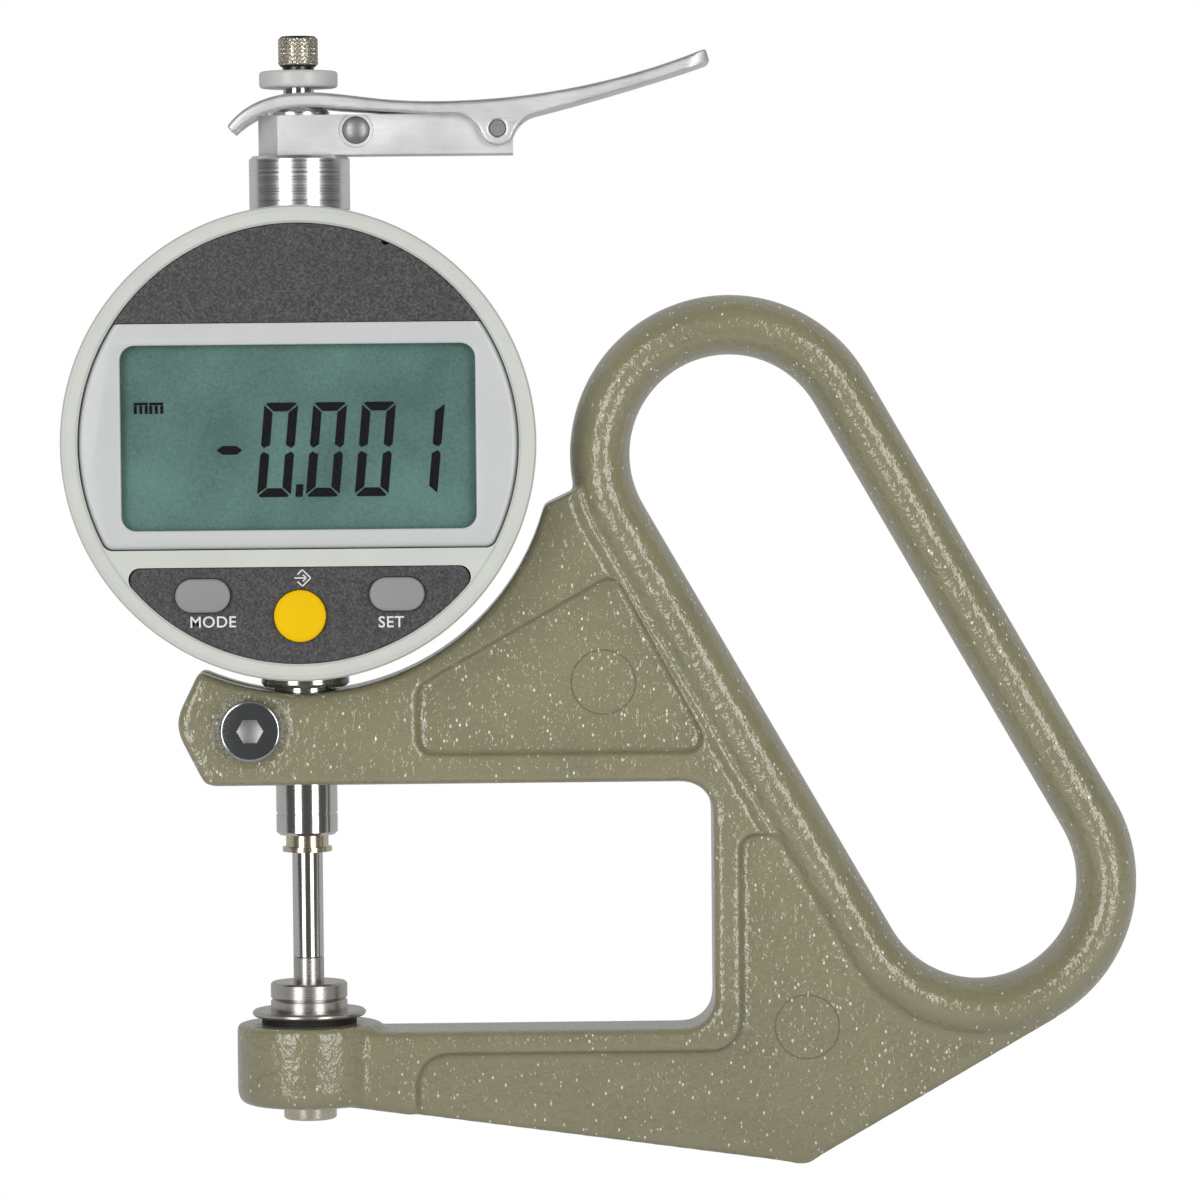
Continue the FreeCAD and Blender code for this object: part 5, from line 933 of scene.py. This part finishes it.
@dataclass
class Spindle(Dresser):
    """The sliding spindle with all that moves with it.

    Attributes:
        cap_radius: Over the knurl's points.
        cap_low: Lower face of the cap.
        cap_high: Upper face of the cap.
        knurl_columns: Diamonds round the cap.
        knurl_rows: Diamonds up the cap.
        knurl_depth: Height of a diamond.
        knurl_spokes: Points round each diamond.
        knurl_steps: Steps up the knurl.
        neck_height: Plain neck under the knurl.
        neck_inset: Neck inside the knurl's points.
        face_inset: Flat of the upper face inside them.
        edge: Chamfer at the knurl's ends.
        collar_edge: Rounded rims of the plastic collar.
        collar_inside: Edges farther out than this are its rims.
    """

    cap_radius: float = 2.6
    cap_low: float = 120.8
    cap_high: float = 125.3
    knurl_columns: int = 26
    knurl_rows: int = 7
    knurl_depth: float = 0.22
    knurl_spokes: int = 8
    knurl_steps: int = 48
    neck_height: float = 0.55
    neck_inset: float = 0.55
    face_inset: float = 1.0
    edge: float = 0.4
    collar_edge: float = 0.45
    collar_inside: float = 4.0

    finishes: ClassVar[dict[str, Material]] = {
        "spindle": Material.GROUND,
        "upper_anvil": Material.LAPPED,
        "scale_carrier": Material.ALLOY,
        "glass_scale": Material.SCALE,
        "guide_pin": Material.GROUND,
    }

    def knurl(self, turn: float, rise: float) -> float:
        """Height of the diamond knurl, from nought to one.

        Args:
            turn: Place round the cap, in diamonds.
            rise: Place up the cap, in diamonds.

        Returns:
            One along the ridges and nought in the pits between them.
        """
        first = abs(((turn + rise) % 1.0) - 0.5) * 2.0
        second = abs(((turn - rise) % 1.0) - 0.5) * 2.0
        return max(first, second)

    def build(self) -> None:
        """Fit the spring and the collar, and screw the knurled cap on top."""
        coil = new_piece("coiled_return_spring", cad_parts["return_spring"].data.copy(),
                         Material.SPRING, None, "spring_steel")
        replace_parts(coil, "return_spring")
        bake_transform(coil)
        collar = trimmed("lift_collar", [
            (self.collar_edge,
             lambda middle: math.hypot(middle.x, middle.y) > self.collar_inside)])
        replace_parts(new_piece("moulded_collar", collar, Material.COLLAR, "spindle",
                              "collar_plastic"), "lift_collar")
        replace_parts(new_piece("knurled_cap_cut", self.cap(), Material.KNURL, "spindle",
                              "nickel_knurl", smooth_deg=18.0), "knurled_cap")

    def knurled_radius(self, share_round: float, z: float) -> float:
        """Radius of the knurl at one point, with the chamfers at its ends.

        Args:
            share_round: Place round the cap, from nought to one.
            z: Height in millimetres.

        Returns:
            The radius, in millimetres.
        """
        neck = self.cap_low + self.neck_height
        share = (z - neck) / (self.cap_high - neck)
        height = self.knurl(self.knurl_columns * share_round, self.knurl_rows * share)
        radius = self.cap_radius - self.knurl_depth * (1.0 - height)
        ends = min(z - neck, self.cap_high - z)
        return min(radius, self.cap_radius - max(0.0, self.edge - ends))

    def cap(self) -> bmesh.types.BMesh:
        """The cap with a real diamond knurl cut into it."""
        around = self.knurl_columns * self.knurl_spokes
        neck = self.cap_low + self.neck_height
        plain = self.cap_radius - self.neck_inset
        levels: list[tuple[float, float | None]] = [(self.cap_low, plain), (neck, plain)]
        levels += [(neck + (self.cap_high - neck) * step / self.knurl_steps, None)
                   for step in range(self.knurl_steps + 1)]
        levels.append((self.cap_high, self.cap_radius - self.face_inset))
        mesh = bmesh.new()
        rows = []
        for z, even in levels:
            row = []
            for spoke in range(around):
                angle = math.tau * spoke / around
                radius = self.knurled_radius(spoke / around, z) if even is None else even
                row.append(mesh.verts.new((radius * math.cos(angle) * MM,
                                           radius * math.sin(angle) * MM, z * MM)))
            rows.append(row)
        for lower, upper in zip(rows, rows[1:]):
            for spoke in range(around):
                following = (spoke + 1) % around
                mesh.faces.new((lower[spoke], lower[following],
                                upper[following], upper[spoke]))
        mesh.faces.new(rows[-1])
        mesh.faces.new(list(reversed(rows[0])))
        bmesh.ops.recalc_face_normals(mesh, faces=mesh.faces)
        return mesh


class Segment(Enum):
    """The seven bars of a display digit."""

    TOP = "a"
    UPPER_RIGHT = "b"
    LOWER_RIGHT = "c"
    BOTTOM = "d"
    LOWER_LEFT = "e"
    UPPER_LEFT = "f"
    MIDDLE = "g"


ZERO = (Segment.TOP, Segment.UPPER_RIGHT, Segment.LOWER_RIGHT, Segment.BOTTOM,
        Segment.LOWER_LEFT, Segment.UPPER_LEFT)
ONE = (Segment.UPPER_RIGHT, Segment.LOWER_RIGHT)


@dataclass
class Readout:
    """The switched-on segments of the display, slanted to the right.

    Attributes:
        low: Foot of the digits.
        height: Height of a digit.
        width: Width of a digit.
        first: Foot of the first digit's left edge.
        pitch: From digit to digit.
        bar: Width of a segment.
        gap: Gap between segments.
        mitre: Cut-off corner of a segment, as a share of its width.
        slant: Lean to the right for each millimetre of height.
        front: Front face of the ink layer.
        back: Rear face of the ink layer.
        minus: Left tip, shoulders and right tip of the minus sign.
        minus_half: Half its height.
        point: Left and right edge of the decimal point.
        point_height: Its height.
        unit_lefts: Left edges of the unit's two letters.
        unit_width: Width of a letter.
        unit_bar: Lower and upper edge of the bar along its top.
        unit_strokes: Left edges of its three strokes, from its own.
        unit_stroke: Width of a stroke.
        unit_heights: Lower and upper end of the strokes.
    """

    low: float = 65.87
    height: float = 12.08
    width: float = 4.3
    first: float = -5.42
    pitch: float = 6.25
    bar: float = 1.13
    gap: float = 0.09
    mitre: float = 0.32
    slant: float = 0.094
    front: float = -13.45
    back: float = -13.40
    minus: tuple[float, float, float, float] = (-10.5, -9.75, -7.95, -7.2)
    minus_half: float = 0.56
    point: Point = (-0.5, 0.42)
    point_height: float = 1.6
    unit_lefts: tuple[float, float] = (-21.0, -19.02)
    unit_width: float = 1.8
    unit_bar: Point = (77.75, 78.1)
    unit_strokes: tuple[float, float, float] = (0.0, 0.7, 1.4)
    unit_stroke: float = 0.4
    unit_heights: Point = (76.65, 77.7)

    def lean(self, outline: Sequence[Point]) -> list[Point]:
        """Shear an outline so that it leans to the right."""
        return [(x + (z - self.low) * self.slant, z) for x, z in outline]

    def segment(self, left: float, which: Segment) -> list[Point]:
        """Outline of one bar with mitred ends.

        Args:
            left: Foot of the digit's left edge.
            which: The bar.

        Returns:
            Its corners, in millimetres.
        """
        right, top = left + self.width, self.low + self.height
        middle, bar, gap = self.low + self.height / 2, self.bar, self.gap
        nick = bar * self.mitre
        if which in (Segment.TOP, Segment.BOTTOM):
            sign = -1.0 if which is Segment.TOP else 1.0
            edge = top if which is Segment.TOP else self.low
            outline = [(left + nick + gap, edge), (right - nick - gap, edge),
                       (right - gap - 0.1, edge + sign * nick * 0.5),
                       (right - bar - gap, edge + sign * bar),
                       (left + bar + gap, edge + sign * bar),
                       (left + gap + 0.1, edge + sign * nick * 0.5)]
        elif which is Segment.MIDDLE:
            outline = [(left + gap, middle), (left + bar * 0.7, middle + bar / 2),
                       (right - bar * 0.7, middle + bar / 2), (right - gap, middle),
                       (right - bar * 0.7, middle - bar / 2),
                       (left + bar * 0.7, middle - bar / 2)]
        else:
            upper = which in (Segment.UPPER_LEFT, Segment.UPPER_RIGHT)
            far, near = (top, middle) if upper else (self.low, middle)
            sign = 1.0 if upper else -1.0
            on_left = which in (Segment.LOWER_LEFT, Segment.UPPER_LEFT)
            outer = left if on_left else right
            inward = bar if on_left else -bar
            outline = [(outer, far - sign * (nick * 0.5 + gap * 2)),
                       (outer, near + sign * (bar * 0.55)),
                       (outer + inward * 0.35, near + sign * gap * 2.5),
                       (outer + inward, near + sign * (bar * 0.55)),
                       (outer + inward, far - sign * (bar + gap * 1.5))]
        return self.lean(outline)

    def outlines(self) -> list[list[Point]]:
        """All bars of "-0.001" and the unit's letters."""
        digits = [ZERO, ZERO, ZERO, ONE]
        made = [self.segment(self.first + place * self.pitch, bar)
                for place, bars in enumerate(digits) for bar in bars]
        middle, half = self.low + self.height / 2, self.minus_half
        tip, shoulder, far_shoulder, far_tip = self.minus
        made.append([(tip, middle), (shoulder, middle + half), (far_shoulder, middle + half),
                     (far_tip, middle), (far_shoulder, middle - half),
                     (shoulder, middle - half)])
        made.append(self.lean(rectangle(*self.point, self.low, self.low + self.point_height)))
        for left in self.unit_lefts:
            made.append(rectangle(left, left + self.unit_width, *self.unit_bar))
            for stroke in self.unit_strokes:
                made.append(rectangle(left + stroke, left + stroke + self.unit_stroke,
                                      *self.unit_heights))
        return made


@dataclass
class DisplayHead(Dresser):
    """The turning head with its window, plates, keys and inner pieces.

    Attributes:
        ink_front: Front of the printing on the key plate.
        ink_back: Its rear face, on the plate.
        words: For each key word, its name, text, middle and base line.
        letter_height: Height of the key words.
        letter_share: Height of a capital as a share of the font's size.
        letter_space: Spacing of the letters, times the font's own.
        letter_weight: How much thicker than the font's own they are.
        symbol_at: Middle of the data key's symbol.
        symbol_reach: From there to its corners.
        symbol_line: Width of its lines.
        pane_thickness: Clear window, which leaves an air gap to the cell.
        pane_edge: Its broken edge.
        surround_edge: Bevel along the surround's outer edge.
        opening_edge: Bevel round the display opening.
        opening: Limits of the opening: half its width, and its top.
        rim_below: The opening starts more than this above the surround's foot.
        near: Edges no farther than this from a face belong to it.
        key_edge: Rounded edge of the keys.
        key_rim: Depth of a key's front that this edge lies in.
    """

    ink_front: float = -15.03
    ink_back: float = -15.0
    words: tuple[tuple[str, str, float, float], ...] = (
        ("mode_word", "MODE", -11.15, 49.35), ("set_word", "SET", 11.6, 49.15))
    letter_height: float = 1.45
    letter_share: float = 0.72
    letter_space: float = 1.08
    letter_weight: float = 0.02
    symbol_at: Point = (0.35, 55.55)
    symbol_reach: float = 1.05
    symbol_line: float = 0.16
    pane_thickness: float = 0.3
    pane_edge: float = 0.05
    surround_edge: float = 0.75
    opening_edge: float = 0.22
    opening: tuple[float, float] = (23.0, 86.0)
    rim_below: float = 1.0
    near: float = 0.05
    key_edge: float = 0.35
    key_rim: float = 0.1

    finishes: ClassVar[dict[str, Material]] = {
        "head_bezel": Material.CASE,
        "head_back_plate": Material.CASE,
        "lcd_panel": Material.CRYSTAL,
        "display_contact_strips": Material.RUBBER,
        "main_board": Material.BOARD,
        "switch_mat": Material.RUBBER,
        "coin_cell": Material.NICKEL,
        "cell_contacts": Material.NICKEL,
        "cell_holder": Material.BLACK,
        "key_plate": Material.PLATE,
        "battery_cover": Material.PLATE,
    }

    def build(self) -> None:
        """Fit the pane, switch on the readout and print the key plate."""
        low, high = (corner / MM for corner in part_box("display_window"))
        pane = slab([rectangle(low.x, high.x, low.z, high.z)],
                    low.y, low.y + self.pane_thickness, self.pane_edge)
        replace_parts(new_piece("window_pane", pane, Material.PANE, "display_head", "clear"),
                    "display_window")
        self.surround()
        self.keys()
        readout = Readout()
        new_piece("readout_segments", slab(readout.outlines(), readout.front, readout.back),
                  Material.DIGIT, "display_head", "lcd")
        for name, text, middle, foot in self.words:
            self.word(name, text, middle, foot)
        new_piece("data_symbol", slab(self.symbol(), self.ink_front, self.ink_back),
                  Material.INK, "display_head", "dark_plate")

    def surround(self) -> None:
        """Mould the surround: broad bevel outside, thin bright one round the opening."""
        low, high = (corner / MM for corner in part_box("display_surround"))
        width, height = self.opening

        def on_front(middle: Vector) -> bool:
            return middle.y < low.y + self.near

        def round_opening(middle: Vector) -> bool:
            return (on_front(middle) and abs(middle.x) < width
                    and low.z + self.rim_below < middle.z < height)

        def outside(middle: Vector) -> bool:
            return (on_front(middle) and not round_opening(middle)
                    and middle.z < high.z - self.near)

        mesh = trimmed("display_surround", [
            (self.opening_edge, round_opening), (self.surround_edge, outside)])
        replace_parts(new_piece("moulded_surround", mesh, Material.SURROUND, "display_head",
                              "surround_plastic"), "display_surround")

    def keys(self) -> None:
        """Round the caps of the three keys."""
        for node, finish, slot in (("mode_key", Material.GREY_KEY, "grey_key"),
                                   ("set_key", Material.GREY_KEY, "grey_key"),
                                   ("data_key", Material.YELLOW_KEY, "yellow_key")):
            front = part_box(node)[0].y / MM
            mesh = trimmed(node, [
                (self.key_edge,
                 lambda middle, front=front: middle.y < front + self.key_rim)])
            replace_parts(new_piece(f"{node}_cap", mesh, finish, node, slot), node)

    def word(self, name: str, text: str, middle: float, foot: float) -> None:
        """Print one word on the key plate.

        Args:
            name: The piece's name.
            text: The word.
            middle: X of its middle, in millimetres.
            foot: Z of its base line, in millimetres.
        """
        curve = bpy.data.curves.new(name, "FONT")
        curve.body = text
        curve.align_x = "CENTER"
        curve.size = self.letter_height / self.letter_share * MM
        curve.space_character = self.letter_space
        curve.offset = self.letter_weight * MM
        curve.extrude = (self.ink_back - self.ink_front) / 2 * MM
        curve.resolution_u = 6
        letters = bpy.data.objects.new(f"{name}_curve", curve)
        bpy.context.scene.collection.objects.link(letters)
        bpy.context.view_layer.update()
        mesh = baked(letters)
        place = Matrix.Translation((middle * MM, (self.ink_front + self.ink_back) / 2 * MM,
                                    foot * MM))
        mesh.transform(place @ Matrix.Rotation(math.radians(90), 4, "X"))
        new_piece(name, mesh, Material.INK, "display_head", "dark_plate")

    def symbol(self) -> list[list[Point]]:
        """An arrow that runs into a diamond, for sending the reading.

        Returns:
            Closed outlines, in millimetres.
        """
        (x, z), reach, line = self.symbol_at, self.symbol_reach, self.symbol_line
        corners = [(-reach * 0.62, 0.45), (0.0, reach), (reach, 0.0), (0.0, -reach),
                   (-reach * 0.62, -0.45)]
        strokes = list(zip(corners, corners[1:]))
        strokes += [((-reach, 0.0), (0.45, 0.0)), ((0.05, 0.42), (0.5, 0.0)),
                    ((0.5, 0.0), (0.05, -0.42))]
        made = []
        for (x0, z0), (x1, z1) in strokes:
            length = math.hypot(x1 - x0, z1 - z0)
            side_x, side_z = -(z1 - z0) / length * line / 2, (x1 - x0) / length * line / 2
            made.append([(x + x0 + side_x, z + z0 + side_z), (x + x1 + side_x, z + z1 + side_z),
                         (x + x1 - side_x, z + z1 - side_z),
                         (x + x0 - side_x, z + z0 - side_z)])
        return made


# Studio


@dataclass(frozen=True)
class Lamp:
    """One soft box.

    Attributes:
        name: Its name.
        at: Where it stands, in metres.
        size: Width and height, in metres.
        power: In watts.
    """

    name: str
    at: tuple[float, float, float]
    size: tuple[float, float]
    power: float

    def light(self, target: Vector) -> None:
        """Set it up, pointing at the gauge."""
        data = bpy.data.lights.new(self.name, "AREA")
        data.shape = "RECTANGLE"
        data.size, data.size_y = self.size
        data.energy = self.power
        lamp = bpy.data.objects.new(self.name, data)
        lamp.location = self.at
        lamp.rotation_mode = "QUATERNION"
        lamp.rotation_quaternion = (target - Vector(self.at)).to_track_quat("-Z", "Y")
        bpy.context.scene.collection.objects.link(lamp)


@dataclass
class Studio:
    """Camera, floor, backdrop and soft boxes.

    Attributes:
        eye: Where the camera stands.
        aim: What it looks at.
        lens: Focal length in millimetres on a 36 mm sensor.
        roll_deg: The camera's tilt about its own axis.
        floor: Height of the floor.
        sweep: Front edge of the paper, and where it starts to rise.
        sweep_radius: Radius of its rise.
        wall_top: Upper edge of the paper.
        half_width: Half its width.
        fibre_scale: Its fibres, for each metre.
        mirrored_paper: Brightness of the paper in a reflection.
        mirrored_room: Brightness of the room in a reflection.
        ambient: Light from the room on matt surfaces.
        lamps: The soft boxes.
    """

    eye: tuple[float, float, float] = (0.02803, -0.730, 0.0830)
    aim: tuple[float, float, float] = (0.03853, 0.0, 0.0517)
    lens: float = 168.0
    roll_deg: float = -0.55
    floor: float = -0.02205
    sweep: Point = (-0.10, 0.9)
    sweep_radius: float = 0.6
    wall_top: float = 4.0
    half_width: float = 4.0
    fibre_scale: float = 900.0
    mirrored_paper: float = 0.5
    mirrored_room: float = 0.09
    ambient: float = 0.45
    lamps: tuple[Lamp, ...] = (
        Lamp("box_left", (-0.50, -0.85, 0.16), (0.40, 1.0), 4.35),
        Lamp("box_right", (0.58, -0.85, 0.16), (0.40, 1.0), 4.35))

    def camera(self) -> None:
        """Set the camera at the photograph's angle."""
        data = bpy.data.cameras.new("camera")
        data.lens = self.lens
        data.sensor_width = 36.0
        data.clip_start, data.clip_end = 0.01, 20.0
        camera = bpy.data.objects.new("camera", data)
        camera.location = self.eye
        camera.rotation_mode = "QUATERNION"
        look = (Vector(self.aim) - Vector(self.eye)).to_track_quat("-Z", "Y")
        roll = Quaternion((0.0, 0.0, 1.0), math.radians(self.roll_deg))
        camera.rotation_quaternion = look @ roll
        bpy.context.scene.collection.objects.link(camera)
        bpy.context.scene.camera = camera

    def backdrop(self) -> None:
        """A pale sweep: floor in front, curved up into a wall behind."""
        (front, foot), bend = self.sweep, self.sweep_radius
        profile = [(front, self.floor), (foot, self.floor)]
        profile += [(foot + bend * math.sin(math.radians(angle)),
                     self.floor + bend - bend * math.cos(math.radians(angle)))
                    for angle in range(6, 91, 6)]
        profile.append((foot + bend, self.wall_top))
        mesh = bmesh.new()
        rows = [[mesh.verts.new((x, y, z)) for y, z in profile]
                for x in (-self.half_width, self.half_width)]
        for step in range(len(profile) - 1):
            mesh.faces.new((rows[0][step], rows[1][step], rows[1][step + 1],
                            rows[0][step + 1]))
        data = bpy.data.meshes.new("backdrop_sweep")
        mesh.to_mesh(data)
        mesh.free()
        data.shade_smooth()
        paper = bpy.data.materials.new("white_background_paper")
        paper.use_nodes = True
        tree = paper.node_tree
        tree.nodes.clear()
        seen, level = self.seen_directly(tree, self.mirrored_paper)
        fibre = add(tree, "TexNoise", {"Scale": self.fibre_scale})
        tone = add(tree, "Mix", {
            "Factor": fibre.outputs["Fac"], "A": linear("f4f4f4"), "B": linear("efefef")},
            data_type="RGBA")
        matt = add(tree, "BsdfDiffuse", {"Color": tone.outputs["Result"]})
        bright = add(tree, "Emission", {"Strength": level})
        both = add(tree, "MixShader", {
            0: seen, 1: matt.outputs["BSDF"], 2: bright.outputs["Emission"]})
        add(tree, "OutputMaterial", {"Surface": both.outputs["Shader"]})
        data.materials.append(paper)
        sweep = bpy.data.objects.new("backdrop_sweep", data)
        bpy.context.scene.collection.objects.link(sweep)

    def seen_directly(self, tree: bpy.types.NodeTree, mirrored: float) -> tuple[Link, Link]:
        """Tell rays that come straight from the camera, a mirror or glass from the rest.

        Args:
            tree: The nodes of a material or of the world.
            mirrored: How bright the white room is in a reflection.

        Returns:
            One for such rays and nought for others, and the brightness that they see.
        """
        path = add(tree, "LightPath")
        clear = add(tree, "Math", {
            0: path.outputs["Is Camera Ray"], 1: path.outputs["Is Transmission Ray"]},
            operation="MAXIMUM")
        seen = add(tree, "Math", {
            0: clear.outputs[0], 1: path.outputs["Is Glossy Ray"]}, operation="MAXIMUM")
        level = add(tree, "MapRange", {
            "Value": clear.outputs[0], "To Min": mirrored, "To Max": 1.0})
        return seen.outputs[0], level.outputs["Result"]

    def world(self) -> None:
        """An even pale room."""
        world = bpy.data.worlds.new("pale_room")
        world.use_nodes = True
        tree = world.node_tree
        tree.nodes.clear()
        seen, level = self.seen_directly(tree, self.mirrored_room)
        strength = add(tree, "MapRange", {
            "Value": seen, "To Min": self.ambient, "To Max": level})
        sky = add(tree, "Background", {
            "Color": (1.0, 1.0, 1.0, 1.0), "Strength": strength.outputs["Result"]})
        add(tree, "OutputWorld", {"Surface": sky.outputs["Background"]})
        bpy.context.scene.world = world

    def build(self) -> None:
        """Set everything up."""
        bpy.context.scene.view_settings.view_transform = "Standard"
        self.camera()
        self.backdrop()
        self.world()
        for lamp in self.lamps:
            lamp.light(Vector(self.aim))


def main() -> None:
    """Build the sub-assemblies in order, then the studio."""
    logging.basicConfig(level=logging.INFO, format="%(name)s: %(message)s")
    for assembly in (Casting(), Stem(), RearCase(), Lifter(), Spindle(), DisplayHead()):
        assembly.dress()
        assembly.build()
    Studio().build()


if __name__ == "__main__":
    main()
